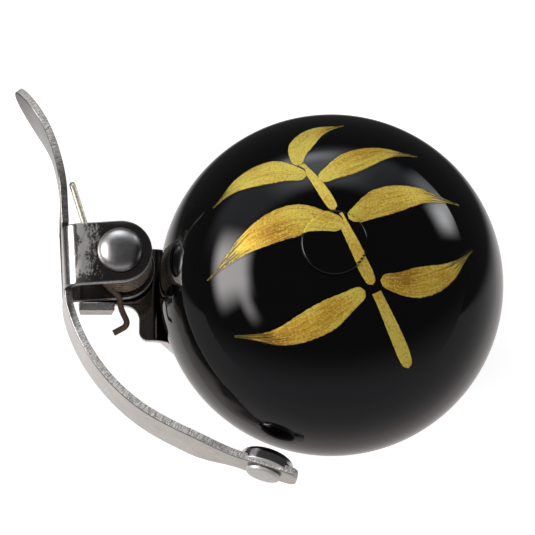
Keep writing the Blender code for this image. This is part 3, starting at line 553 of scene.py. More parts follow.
@dataclass(frozen=True)
class NickelPlate(SatinMetal):
    """Bright plate with a fine drawn grain, scuffed in cloudy patches beside the lever's fold and darkened
    with painted shade on its ears.
    """

    name: str = "bright_nickel"
    colour: Colour = (0.78, 0.755, 0.73)
    shade: Colour = (0.52, 0.50, 0.475)
    roughness: float = 0.18
    spread: float = 0.05
    lines: Grain = Grain(2600.0, 4.0, 0.65, (0.10, 1.0, 1.0))
    metallic: float = 0.97
    scuff: Colour = (0.74, 0.72, 0.69)
    scuff_metallic: float = 0.70
    scuff_roughness: float = 0.25
    scuff_cloud: Grain = Grain(900.0, 4.0, 0.7, (1.0, 0.45, 1.0))
    scuff_tears: Grain = Grain(3600.0, 3.0, 0.7, (1.0, 0.6, 1.0))
    scuff_weights: Flat = (1.3, 0.9)
    scuff_pull: float = 0.6
    scuff_span: Flat = (1.30, 1.72)
    scuff_border: Flat = (0.0, 0.12)
    fold: Flat = (-0.0409, -0.0399)
    worn: Flat = (-0.0352, -0.0398)
    worn_sides: tuple[Flat, Flat] = ((-0.0016, 0.0008), (0.0110, 0.0082))
    # Painted shade on the ears, and where it lies.
    painted_shade: Colour = (0.19, 0.18, 0.17)
    painted_shade_reach: Flat = (-0.0402, -0.0372)
    painted_shade_sides: tuple[Flat, Flat] = ((-0.0031, -0.0027), (0.0092, 0.0080))
    painted_shade_low: Flat = (0.0325, 0.0310)
    rim: Flat = (0.545, 0.598)

    def wear(self, bench: NodeBench) -> Socket:
        """Works out where the plate is scuffed.

        Args:
            bench: The finish's nodes.

        Returns:
            The share of wear from 0 to 1.
        """
        axes = bench.axes()
        reach = bench.product(bench.span(axes["X"], *self.worn), bench.span(axes["Z"], *self.painted_shade_low[::-1]),
                              bench.span(axes["X"], *self.fold, smooth=True),
                              *[bench.span(axes["Y"], *side, smooth=True) for side in self.worn_sides])
        ragged = bench.weigh(bench.noise(self.scuff_cloud), bench.noise(self.scuff_tears), self.scuff_weights)
        hold = bench.sum("ADD", bench.product(reach, self.scuff_pull), ragged)
        return bench.product(bench.span(hold, *self.scuff_span, smooth=True),
                             bench.span(reach, *self.scuff_border))

    def dim(self, bench: NodeBench) -> Socket:
        """Works out where painted shade darkens the ears' faces: the lower ear past its fold, and both ears
        towards the rivet.

        Args:
            bench: The finish's nodes.

        Returns:
            The share of painted shade from 0 to 1.
        """
        axes = bench.axes()
        low = bench.product(bench.span(axes["Z"], *self.painted_shade_low), bench.span(axes["X"], *EARS))
        share = bench.sum("MAXIMUM", bench.span(axes["X"], *self.painted_shade_reach, smooth=True), low)
        depth = bench.sum("ABSOLUTE", bench.attribute("sheet_depth"))
        return bench.product(share, *[bench.span(axes["Y"], *side, smooth=True) for side in self.painted_shade_sides],
                             bench.span(depth, *self.rim))

    def build(self) -> Material:
        """Builds the finish's material."""
        bench = FinishBench(self.name)
        lines, cloud = bench.noise(self.lines), bench.noise(self.cloud)
        wear = self.wear(bench)
        # The plate's tint, darkened on the ears with painted shade.
        plate = bench.blend(self.dim(bench), self.tint(bench, lines, cloud), self.painted_shade)
        bench.set("Base Color", bench.blend(wear, plate, self.scuff))
        rough = self.gloss(bench, lines, cloud)
        bench.set("Roughness", bench.sum("ADD", rough, bench.product(wear, self.scuff_roughness)))
        bench.set("Metallic", bench.span(wear, 0.0, 1.0, self.metallic, self.scuff_metallic))
        bench.bump(lines, *self.relief)
        return bench.material


@dataclass(frozen=True)
class SpringWire:
    """Drawn bronze-tinted wire, pale on the leg by the paddle and darker towards the other leg."""

    name: str = "bronze_wire"
    pale: Colour = (0.98, 0.88, 0.69)
    dark: Colour = (0.20, 0.14, 0.10)
    scale: Grain = Grain(2200.0, 4.0, 0.65)
    scale_wash: Wash = Wash(dark, 0.62, 0.36, 0.45)
    cloud: Grain = Grain(420.0)
    cloud_shift: float = 0.004
    turn: Flat = (-0.0030, 0.0075)
    roughness: float = 0.30
    roughness_spread: Flat = (0.08, 0.12)
    metallic: float = 0.62
    relief: Flat = (0.35, 0.00002)

    def build(self) -> Material:
        """Builds the finish's material."""
        bench = FinishBench(self.name)
        scale, cloud = bench.noise(self.scale), bench.noise(self.cloud)
        shift = bench.product(bench.sum("SUBTRACT", cloud, 0.5), self.cloud_shift)
        place = bench.sum("ADD", bench.axes()["Y"], shift)
        tint = bench.blend(bench.span(place, *self.turn, smooth=True), self.dark, self.pale)
        bench.set("Base Color", bench.wash(tint, scale, self.scale_wash))
        bench.set("Roughness", bench.gloss(scale, self.roughness, self.roughness_spread))
        bench.set("Metallic", self.metallic)
        bench.bump(scale, *self.relief)
        return bench.material


@dataclass(frozen=True)
class SoftPart:
    """Moulded nylon or rubber with a dull, faintly pebbled skin."""

    name: str
    colour: Colour
    shade: Colour
    roughness: float
    cloud: Grain = Grain(210.0, 4.0)
    cloud_span: Flat = (0.35, 0.7)
    pebble: Grain = Grain(2600.0, 3.0, 0.6)
    roughness_spread: Flat = (0.08, 0.10)
    relief: Flat = (0.5, 0.00004)

    def build(self) -> Material:
        """Builds the finish's material."""
        bench = FinishBench(self.name)
        pebble = bench.noise(self.pebble)
        share = bench.span(bench.noise(self.cloud), *self.cloud_span)
        bench.set("Base Color", bench.blend(share, self.shade, self.colour))
        bench.set("Roughness", bench.gloss(pebble, self.roughness, self.roughness_spread))
        bench.bump(pebble, *self.relief)
        return bench.material


@dataclass(frozen=True)
class StudioFloor:
    """A pale floor, plain white to the camera, and mirrored with painted light: lit in front and falling off
    behind.
    """

    name: str = "studio_floor"
    white: Colour = (0.90, 0.90, 0.90)
    front: Colour = (0.56, 0.525, 0.50)
    beside: Colour = (0.86, 0.835, 0.825)
    far: Colour = (0.30, 0.30, 0.315)
    behind: Colour = (0.050, 0.050, 0.052)
    roughness: float = 0.9
    lift: float = 0.52
    mirrored: float = 0.80
    mirrored_dark: float = 0.75
    sweep: Flat = (-0.058, 0.010)
    height: float = 0.055
    inner: float = 0.026
    least: float = 0.005
    slope: Flat = (0.28, 1.19)
    back: Flat = (0.033, 0.066)
    back_turn: float = 0.22

    def look(self, bench: NodeBench) -> Socket:
        """Lays out the painted light that polished pieces mirror.

        Args:
            bench: The finish's nodes.

        Returns:
            The colour by place on the floor.
        """
        place = bench.place()
        axes = bench.axes(place)
        length = bench.add("ShaderNodeVectorMath", operation="LENGTH")
        bench.feed(length.inputs[0], place)
        reach = bench.sum("MAXIMUM", bench.sum("SUBTRACT", length.outputs["Value"], self.inner), self.least)
        near = bench.blend(bench.span(axes["Y"], *self.sweep), self.front, self.beside)
        look = bench.blend(bench.span(bench.sum("DIVIDE", self.height, reach), *self.slope), self.far, near)
        turned = bench.product(bench.sum("ABSOLUTE", axes["X"]), self.back_turn)
        past = bench.span(bench.sum("ADD", axes["Y"], turned), *self.back, smooth=True)
        return bench.blend(past, look, self.behind)

    def build(self) -> Material:
        """Builds the finish's material."""
        bench = FinishBench(self.name)
        look = self.look(bench)
        rays = bench.add("ShaderNodeLightPath").outputs
        glossy = rays["Is Glossy Ray"]
        mirrored = bench.blend(self.mirrored_dark, look, BLACK)
        bench.set("Base Color", bench.blend(glossy, self.white, mirrored))
        bench.set("Roughness", self.roughness)
        bench.set("Specular IOR Level", 0.0)
        bench.set("Emission Color", bench.blend(glossy, WHITE, look))
        seen = bench.sum("MAXIMUM", rays["Is Camera Ray"], rays["Is Transmission Ray"])
        bench.set("Emission Strength", bench.weigh(seen, glossy, (self.lift, self.mirrored)))
        return bench.material


class Rack:
    """Keeps one material for each finish."""

    FINE = Grain(1400.0, 4.0, 0.65)
    DRAWN = Grain(1800.0, 4.0, 0.65, (1.0, 0.10, 1.0))
    TURNED = Grain(900.0, 4.0, 0.65, (1.0, 1.0, 0.1))
    SHALLOW = (0.35, 0.00001)

    NICKEL = NickelPlate()
    EDGE = ShearedEdge()
    RIVET = SatinMetal("polished_rivet", (0.98, 0.96, 0.94), (0.72, 0.70, 0.68), 0.33, 0.06, FINE, SHALLOW)
    TAIL = SatinMetal("polished_tail", (0.92, 0.90, 0.87), (0.74, 0.72, 0.69), 0.42, 0.07, FINE, SHALLOW, 0.7)
    POLISHED = SatinMetal("polished_steel", (0.80, 0.78, 0.77), (0.50, 0.48, 0.48), 0.15, 0.06, FINE, SHALLOW)
    PLATE = SatinMetal("dark_plate", (0.48, 0.435, 0.40), (0.24, 0.21, 0.19), 0.14, 0.05, DRAWN, SHALLOW)
    # A paler copy of the dark plate, a painted reflection of the floor on the bracket's stop tab.
    PAINTED_REFLECTION = SatinMetal("plate_painted_reflection", (0.92, 0.90, 0.87), (0.66, 0.64, 0.62), 0.26, 0.08, metallic=0.85)
    BRONZE = SpringWire()
    BRASS = SatinMetal("brass", (0.78, 0.58, 0.27), (0.50, 0.34, 0.14), 0.30, 0.09, TURNED)
    ZINC = SatinMetal("zinc", (0.70, 0.71, 0.72), (0.46, 0.47, 0.49), 0.34, 0.10)
    NYLON = SoftPart("nylon", (0.80, 0.79, 0.75), (0.66, 0.64, 0.58), 0.50)
    RUBBER = SoftPart("rubber", (0.030, 0.030, 0.031), (0.018, 0.018, 0.018), 0.78)
    LACQUER = BlackLacquer()
    GOLD = GoldBrush()

    made: dict[str, Material] = {}

    @classmethod
    def take(cls, finish: Finish) -> Material:
        """Gives a finish's material.

        Args:
            finish: The finish.

        Returns:
            Its material, built the first time.
        """
        if finish.name not in cls.made:
            cls.made[finish.name] = finish.build()
        return cls.made[finish.name]


@dataclass(frozen=True)
class Seat:
    """What a piece belongs to: its body, the nodes it stands for and its material slot."""

    body: Body
    nodes: tuple[str, ...]
    slot: str


def settle(shape: bmesh.types.BMesh, name: str) -> Mesh:
    """Keeps a worked shape as a mesh and frees it.

    Args:
        shape: The shape.
        name: The mesh's name.

    Returns:
        The new mesh.
    """
    mesh = bpy.data.meshes.new(name)
    shape.to_mesh(mesh)
    shape.free()
    return mesh


class Shop:
    """Turns meshes into dressed pieces on the frame."""

    SHARP = math.radians(34.0)
    FLAT_WEIGHT = 80

    @classmethod
    def finish(cls, name: str, mesh: Mesh, finishes: tuple[Finish, ...], seat: Seat,
               weighted: bool = False, ride: bool = True) -> bpy.types.Object:
        """Links a mesh as a piece, dresses it and seats it on its body.

        Args:
            name: The piece's name.
            mesh: Its mesh, in the model's frame.
            finishes: Its finishes, in the order of its faces' slots.
            seat: What it rides on and stands for.
            weighted: True where large flat faces keep their own shading beside rounded edges.
            ride: False where the piece is left off its body.

        Returns:
            The new piece.
        """
        mesh.name = name
        slots = [min(face.material_index, len(finishes) - 1) for face in mesh.polygons]
        mesh.materials.clear()
        for one in finishes:
            mesh.materials.append(Rack.take(one))
        mesh.polygons.foreach_set("material_index", slots)
        mesh.shade_smooth()
        mesh.set_sharp_from_angle(angle=cls.SHARP)
        piece = bpy.data.objects.new(name, mesh)
        bpy.context.scene.collection.objects.link(piece)
        if weighted:
            normals = piece.modifiers.new("flat_faces", "WEIGHTED_NORMAL")
            normals.keep_sharp = True
            normals.weight = cls.FLAT_WEIGHT
        if ride:
            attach(piece, seat.body.value)
        if seat.nodes:
            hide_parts(*seat.nodes)
        LOG.info("%s: %d faces on %s", name, len(mesh.polygons), seat.body.value)
        return piece


def turned_mesh(profile: Loop, steps: int, closed: bool = False,
                place: Matrix | None = None) -> Mesh:
    """Turns a profile of (radius, height) about Z.

    Args:
        profile: The profile's points.
        steps: How many steps go round.
        closed: True where the profile's end joins its start.
        place: Where the turned piece goes.

    Returns:
        The new mesh.
    """
    shape = bmesh.new()
    rings = []
    for radius, height in profile:
        if radius < MERGE:
            rings.append([shape.verts.new((0.0, 0.0, height))])
            continue
        rings.append([shape.verts.new((radius * math.cos(2.0 * math.pi * i / steps),
                                       radius * math.sin(2.0 * math.pi * i / steps), height))
                      for i in range(steps)])
    pairs = list(zip(rings, rings[1:] + (rings[:1] if closed else [])))
    for upper, lower in pairs:
        for i in range(steps):
            j = (i + 1) % steps
            corners = [ring[k % len(ring)] for ring, k in ((upper, i), (lower, i), (lower, j), (upper, j))]
            kept = [corner for k, corner in enumerate(corners) if corner not in corners[:k]]
            if len(kept) > 2:
                shape.faces.new(kept)
    bmesh.ops.recalc_face_normals(shape, faces=shape.faces)
    if place is not None:
        bmesh.ops.transform(shape, matrix=place, verts=shape.verts)
    return settle(shape, "turned")


@dataclass
class SheetRoute:
    """A bent sheet's middle line: runs of (length, turn) ahead of an anchor and behind it."""

    anchor: Flat
    heading: float
    ahead: list[Flat]
    behind: list[Flat] = field(default_factory=list)

    def walk(self, runs: list[Flat], heading: float, distance: float) -> Triple:
        """Follows runs from the anchor.

        Args:
            runs: The runs.
            heading: The heading that they start with.
            distance: How far they are followed.

        Returns:
            The place and the heading there.
        """
        x, y = self.anchor
        for index, (length, turn) in enumerate(runs):
            last = index == len(runs) - 1
            step = distance if last else min(distance, length)
            angle = turn * step / length
            if abs(angle) < 1e-9:
                x += step * math.cos(heading)
                y += step * math.sin(heading)
            else:
                radius = step / angle
                x += radius * (math.sin(heading + angle) - math.sin(heading))
                y += radius * (math.cos(heading) - math.cos(heading + angle))
            heading += angle
            distance -= step
            if distance <= 0.0:
                break
        return x, y, heading

    def place(self, distance: float) -> Triple:
        """Gives the place and heading at a signed distance from the anchor."""
        if distance >= 0.0:
            return self.walk(self.ahead, self.heading, distance)
        x, y, heading = self.walk(self.behind, self.heading + math.pi, -distance)
        return x, y, heading - math.pi

    def cuts(self) -> list[float]:
        """Finds where the flat blank is cut across so that it can bend.

        Returns:
            The distances from the anchor.
        """
        found = []
        for runs, sign in ((self.ahead, 1.0), (self.behind, -1.0)):
            distance = 0.0
            for length, turn in runs:
                count = math.ceil(abs(turn) / FINE_TURN)
                if count:
                    found += [sign * (distance + length * i / count) for i in range(count + 1)]
                distance += length
        return found


@dataclass
class SideFold:
    """A stretch of a blank's edge that folds up towards the sheet's left side."""

    start: float
    end: float
    side: float
    line: float
    radius: float
    cuts: int = 10

    @property
    def bend(self) -> float:
        """Gives the length of sheet that the fold takes up."""
        return self.radius * QUARTER

    def holds(self, along: float, across: float) -> bool:
        """Tells whether a point of the flat blank lies in the fold or past it."""
        return self.start - MERGE <= along <= self.end + MERGE and across * self.side > self.line

    def lift(self, across: float, height: float) -> Flat:
        """Folds a point of the blank.

        Args:
            across: Where it lies across the blank.
            height: Its height over the sheet's middle.

        Returns:
            How far it rises off the sheet, and where it then lies across it.
        """
        past = across * self.side - self.line
        angle = min(past, self.bend) / self.radius
        rise = self.radius * (1.0 - math.cos(angle)) + height * math.cos(angle)
        reach = self.line + self.radius * math.sin(angle) - height * math.sin(angle)
        return rise + max(0.0, past - self.bend), self.side * reach


class Sheet:
    """A blank of sheet metal with rounded edges, cut, folded and bent."""

    EDGE_STEPS = 3

    def __init__(self, outline: Loop, holes: list[Loop], thickness: float, edge: float,
                 roll: float | None = None) -> None:
        """Cuts the flat blank.

        Args:
            outline: The blank's outline.
            holes: The outlines of its holes.
            thickness: The sheet's thickness.
            edge: The radius that its cut edges are rounded to on the side that it bends to.
            roll: The radius on the other side, which the punch drew in, or nothing for the same one.
        """
        self.shape = bmesh.new()
        self.layers = [self.shape.verts.layers.float.new(name)
                       for name in ("sheet_along", "sheet_across", "sheet_depth")]
        levels = self.levels(thickness, edge, edge if roll is None else roll)
        loops = [outline if signed_area(outline) > 0.0 else outline[::-1]]
        loops += [hole if signed_area(hole) < 0.0 else hole[::-1] for hole in holes]
        stacks = [[self.ring(inset_loop(loop, inset), height) for inset, height in levels] for loop in loops]
        for stack in stacks:
            for index, (upper, lower) in enumerate(zip(stack, stack[1:])):
                self.wall(upper, lower, 1 if 0 < index <= self.EDGE_STEPS + 1 else 0)
        self.fill([stack[0] for stack in stacks])
        self.fill([stack[-1] for stack in stacks])

    def levels(self, thickness: float, edge: float, roll: float) -> list[Flat]:
        """Lays out the rounded edge of the blank.

        Args:
            thickness: The sheet's thickness.
            edge: The radius on the side that it bends to.
            roll: The radius on the other side.

        Returns:
            The inset and height of each ring down the edge.
        """
        angles = [QUARTER * (1.0 - i / self.EDGE_STEPS) for i in range(self.EDGE_STEPS + 1)]
        sides = [[(radius * (1.0 - math.cos(angle)), thickness / 2.0 - radius * (1.0 - math.sin(angle)))
                  for angle in angles] for radius in (edge, roll)]
        return sides[0] + [(inset, -height) for inset, height in reversed(sides[1])]

    def ring(self, loop: Loop, height: float) -> list[Corner]:
        """Adds one ring of points."""
        return [self.shape.verts.new((x, y, height)) for x, y in loop]

    def wall(self, upper: list[Corner], lower: list[Corner], slot: int) -> None:
        """Joins two rings with faces."""
        count = len(upper)
        for i in range(count):
            j = (i + 1) % count
            self.shape.faces.new((upper[i], lower[i], lower[j], upper[j])).material_index = slot

    def fill(self, rings: list[list[Corner]]) -> None:
        """Fills the flat between an outline and its holes."""
        corners = [corner for ring in rings for corner in ring]
        for triangle in tessellate_polygon([[corner.co.copy() for corner in ring] for ring in rings]):
            self.shape.faces.new([corners[index] for index in triangle])

    def cut_across(self, distance: float) -> None:
        """Cuts the whole blank across at a distance along it."""
        geometry = list(self.shape.verts) + list(self.shape.edges) + list(self.shape.faces)
        bmesh.ops.bisect_plane(self.shape, geom=geometry, dist=MERGE, plane_co=(distance, 0.0, 0.0),
                               plane_no=(1.0, 0.0, 0.0))

    def cut_fold(self, fold: SideFold) -> None:
        """Cuts the blank along each line of a fold.

        Args:
            fold: The fold.
        """
        for i in range(fold.cuts + 1):
            line = fold.side * (fold.line + fold.bend * i / fold.cuts)
            faces = [face for face in self.shape.faces
                     if fold.start - MERGE <= face.calc_center_median().x <= fold.end + MERGE]
            edges = {edge for face in faces for edge in face.edges}
            corners = {corner for face in faces for corner in face.verts}
            bmesh.ops.bisect_plane(self.shape, geom=[*corners, *edges, *faces], dist=MERGE,
                                   plane_co=(0.0, line, 0.0), plane_no=(0.0, 1.0, 0.0))

    def bend(self, route: SheetRoute, folds: list[SideFold], lie: Lie,
             lean: Callable[[float, float, float], float] | None = None,
             origin: Vector | None = None) -> Mesh:
        """Folds the blank's sides and bends it along its route.

        Args:
            route: The sheet's middle line.
            folds: The folds of its sides.
            lie: How the sheet lies.
            lean: A function of along, across and height that gives an extra rise, or nothing.
            origin: Where the route's own origin goes, if it moves.

        Returns:
            The finished mesh.
        """
        for distance in route.cuts():
            self.cut_across(distance)
        for fold in folds:
            self.cut_fold(fold)
        for corner in self.shape.verts:
            along, across, height = corner.co
            for layer, value in zip(self.layers, corner.co):
                corner[layer] = value * MILLIMETRES
            for fold in folds:
                if fold.holds(along, across):
                    height, across = fold.lift(across, height)
                    break
            if lean is not None:
                height += lean(along, across, height)
            x, y, heading = route.place(along)
            x -= height * math.sin(heading)
            y += height * math.cos(heading)
            place = Vector((x, y, across)) if lie is Lie.UPRIGHT else Vector((x, across, y))
            corner.co = place if origin is None else place + origin
        bmesh.ops.recalc_face_normals(self.shape, faces=self.shape.faces)
        return settle(self.shape, "sheet")

    def stand(self, place: Matrix) -> Mesh:
        """Places the blank as it is, neither folded nor bent."""
        bmesh.ops.transform(self.shape, matrix=place, verts=self.shape.verts)
        bmesh.ops.recalc_face_normals(self.shape, faces=self.shape.faces)
        return settle(self.shape, "blank")


def cut_away(mesh: Mesh, tools: list[Mesh]) -> Mesh:
    """Cuts closed meshes out of another.

    Args:
        mesh: The mesh that is cut.
        tools: The meshes that are taken out of it.

    Returns:
        The cut mesh.
    """
    work = bpy.data.objects.new("work", mesh)
    bpy.context.scene.collection.objects.link(work)
    helpers = []
    for tool in tools:
        helper = bpy.data.objects.new("tool", tool)
        bpy.context.scene.collection.objects.link(helper)
        helpers.append(helper)
        cut = work.modifiers.new("cut", "BOOLEAN")
        cut.operation = "DIFFERENCE"
        cut.solver = "EXACT"
        cut.object = helper
    graph = bpy.context.evaluated_depsgraph_get()
    result = bpy.data.meshes.new_from_object(work.evaluated_get(graph))
    for helper in [work, *helpers]:
        bpy.data.objects.remove(helper, do_unlink=True)
    return result


def block_mesh(low: Vector, high: Vector, place: Matrix | None = None) -> Mesh:
    """Makes a plain block, used only as a cutting tool.

    Args:
        low: Its lowest corner.
        high: Its highest corner.
        place: Where the block goes.

    Returns:
        The new mesh.
    """
    shape = bmesh.new()
    bmesh.ops.create_cube(shape, size=1.0)
    bmesh.ops.scale(shape, vec=high - low, verts=shape.verts)
    bmesh.ops.translate(shape, vec=(high + low) / 2.0, verts=shape.verts)
    if place is not None:
        bmesh.ops.transform(shape, matrix=place, verts=shape.verts)
    return settle(shape, "block")


def ring_profile(outer: float, inner: float, top: float, bottom: float, bevel: float) -> Loop:
    """Gives the closed profile of a ring with bevelled edges."""
    upper = [(inner, top - bevel), (inner + bevel, top), (outer - bevel, top), (outer, top - bevel)]
    return upper + [(outer, bottom + bevel), (outer - bevel, bottom), (inner + bevel, bottom),
                    (inner, bottom + bevel)]


@dataclass
class Clamp:
    """The two-part handlebar clamp, out of sight under the dome."""

    bar_radius: float = 0.0111
    liner: float = 0.0012
    overhang: float = 0.0005
    thickness: float = 0.0015
    width: float = 0.0140
    bend_radius: float = 0.0010
    flat: float = 0.0050
    lug_gap: float = 0.0015
    lug_reach: float = 0.0226
    lug_corner: float = 0.0040
    screw_x: float = 0.0184
    screw_radius: float = 0.0019
    head_radius: float = 0.0038
    head_height: float = 0.0024
    drive_width: float = 0.0010
    drive_span: float = 0.0044
    drive_depth: float = 0.0013
    screw_end: float = 0.0014
    head_wall: float = 0.35
    head_narrowing: float = 0.28
    washer_radius: float = 0.0040
    washer_thickness: float = 0.0008
    nut_flats: float = 0.0070
    nut_height: float = 0.0032
    tenon_radius: float = 0.0025
    tail_radius: float = 0.0038
    thread_pitch: float = 0.0007
    thread_depth: float = 0.0003
    thread_turns: int = 11
    edge: float = 0.00022
    liner_edge: float = 0.00018
    bevel: float = 0.0001
    steps: int = 64

    @property
    def inner(self) -> float:
        """Gives the band's inner radius."""
        return self.bar_radius + self.liner + SEAT

    @property
    def top(self) -> float:
        """Gives the height of the saddle's flat top."""
        return self.inner + self.thickness

    def blank(self, end: float) -> Loop:
        """Draws a strap's blank with rounded corners.

        Args:
            end: How far its ends are from its middle.

        Returns:
            The outline.
        """
        along, across = end - self.lug_corner, self.width / 2.0 - self.lug_corner
        outline = []
        for turn, right, up in ((-1, 1, -1), (0, 1, 1), (1, -1, 1), (2, -1, -1)):
            start, middle = turn * QUARTER, (along * right, across * up)
            outline += arc(middle, self.lug_corner, start, start + QUARTER, 12)
        return outline

    def band(self, name: str, anchor: Flat, ahead: list[Flat], middle_hole: bool) -> None:
        """Builds one half of the clamp.

        Args:
            name: The piece's and its node's name.
            anchor: The middle of the band's middle line.
            ahead: The runs from there to the right lug's end.
            middle_hole: True where the post's tenon goes through it.
        """
        route = SheetRoute(anchor, 0.0, ahead, [(length, -turn) for length, turn in ahead])
        end = sum(length for length, turn in ahead)
        screw = end - (self.lug_reach - self.screw_x)
        holes = [circle((side * screw, 0.0), self.screw_radius + RUN) for side in (1.0, -1.0)]
        if middle_hole:
            holes.append(circle((0.0, 0.0), self.tenon_radius + RUN))
        mesh = Sheet(self.blank(end), holes, self.thickness, self.edge).bend(route, [], Lie.FLAT)
        Shop.finish(name, mesh, (Rack.PLATE,), Seat(Body.FRAME, (name,), "dark_plate"), True)

    def saddle(self) -> None:
        """Builds the upper half, flat on top."""
        half = self.thickness / 2.0
        side = self.inner + half
        shoulder = side - self.flat
        bend = self.bend_radius + half
        wall = side - shoulder - self.lug_gap / 2.0 - half - bend
        self.band("clamp_saddle", (0.0, side), [
            (self.flat, 0.0), (shoulder * QUARTER, -QUARTER), (wall, 0.0), (bend * QUARTER, QUARTER),
            (self.lug_reach - side - bend, 0.0),
        ], True)

    def strap(self) -> None:
        """Builds the lower half."""
        half = self.thickness / 2.0
        radius, bend = self.inner + half, self.bend_radius + half
        meet = math.asin((self.lug_gap / 2.0 + half + bend) / (radius + bend))
        turn = QUARTER - meet
        lug = self.lug_reach - (radius + bend) * math.cos(meet)
        runs = [(radius * turn, turn), (bend * turn, -turn), (lug, 0.0)]
        self.band("clamp_strap", (0.0, -radius), runs, False)

    def liner_mesh(self, outline: Loop) -> Mesh:
        """Makes a rubber liner from its section across the bar."""
        sheet = Sheet(outline, [], self.width + 2.0 * self.overhang, self.liner_edge)
        return sheet.stand(Matrix.Rotation(QUARTER, 4, "X"))

    def liners(self) -> None:
        """Builds both liners."""
        side, foot = self.inner - SEAT, self.lug_gap / 2.0
        shoulder = side - self.flat
        start = math.asin(foot / self.bar_radius)
        upper = [(side, foot)]
        upper += arc((self.flat, side - shoulder), shoulder, 0.0, QUARTER, 30)
        upper += arc((-self.flat, side - shoulder), shoulder, QUARTER, math.pi, 30)
        upper += [(-side, foot)] + arc((0.0, 0.0), self.bar_radius, math.pi - start, start, 72)
        wide, deep = self.tail_radius + SEAT, self.top - self.bar_radius / 2.0
        bore = turned_mesh([(0.0, self.top), (wide, self.top), (wide, deep), (0.0, deep)], 48)
        outer = math.asin(foot / side)
        lower = arc((0.0, 0.0), side, math.pi + outer, 2.0 * math.pi - outer, 72)
        lower += arc((0.0, 0.0), self.bar_radius, 2.0 * math.pi - start, math.pi + start, 72)
        for name, mesh in (("saddle_liner", cut_away(self.liner_mesh(upper), [bore])),
                           ("strap_liner", self.liner_mesh(lower))):
            Shop.finish(name, mesh, (Rack.RUBBER,), Seat(Body.FRAME, (name,), "rubber"), True)

    def fastener(self, side: str, x: float) -> None:
        """Builds one screw with its nut and washer.

        Args:
            side: The side's name in its pieces' names.
            x: Where it stands.
        """
        seat = -self.lug_gap / 2.0 - self.thickness - SEAT - self.washer_thickness - SEAT
        low = self.lug_gap / 2.0 + self.thickness + SEAT
        top = low + self.nut_height + self.screw_end
        profile = [(0.0, top), (self.screw_radius - RUN, top), (self.screw_radius, top - RUN)]
        for i in range(self.thread_turns):
            profile += [(self.screw_radius, top - RUN - self.thread_pitch * (i + 0.25)),
                        (self.screw_radius - self.thread_depth, top - RUN - self.thread_pitch * (i + 0.75))]
        profile += [(self.screw_radius, seat), (self.head_radius, seat)]
        for i in range(13):
            rise = math.sin(QUARTER * i / 12)
            profile.append((self.head_radius * (1.0 - self.head_narrowing * rise ** 3),
                            seat - self.head_height * (self.head_wall + (1.0 - self.head_wall) * rise)))
        profile.append((0.0, seat - self.head_height))
        place = Matrix.Translation((x, 0.0, 0.0))
        drives = []
        for span, width in ((self.drive_span, self.drive_width), (self.drive_width, self.drive_span)):
            half = Vector((span / 2.0, width / 2.0, self.drive_depth))
            middle = Vector((x, 0.0, seat - self.head_height))
            drives.append(block_mesh(middle - half, middle + half))
        screw = cut_away(turned_mesh(profile, self.steps, place=place), drives)
        name = "clamp_screw_" + side
        Shop.finish(name, screw, (Rack.ZINC,), Seat(Body.FRAME, (name,), "zinc"))
        self.nut("clamp_nut_" + side, x, low)
        high = -self.lug_gap / 2.0 - self.thickness - SEAT
        ring = ring_profile(self.washer_radius, self.screw_radius + RUN, high, high - self.washer_thickness,
                            self.bevel)
        name = "clamp_washer_" + side
        washer = turned_mesh(ring, self.steps, True, place)
        Shop.finish(name, washer, (Rack.ZINC,), Seat(Body.FRAME, (name,), "zinc"))

    def nut(self, name: str, x: float, low: float) -> None:
        """Builds a hexagon nut with rounded edges.

        Args:
            name: The piece's and its node's name.
            x: Where it stands.
            low: The height of its underside.
        """
        corner = self.nut_flats / math.sqrt(3.0)
        hexagon = circle((0.0, 0.0), corner, 6)
        sheet = Sheet(hexagon, [circle((0.0, 0.0), self.screw_radius + RUN)], self.nut_height, self.bevel)
        mesh = sheet.stand(Matrix.Translation((x, 0.0, low + self.nut_height / 2.0)))
        Shop.finish(name, mesh, (Rack.ZINC,), Seat(Body.FRAME, (name,), "zinc"), True)

    def build(self) -> None:
        """Builds the whole clamp."""
        self.saddle()
        self.strap()
        self.liners()
        self.fastener("left", -self.screw_x)
        self.fastener("right", self.screw_x)


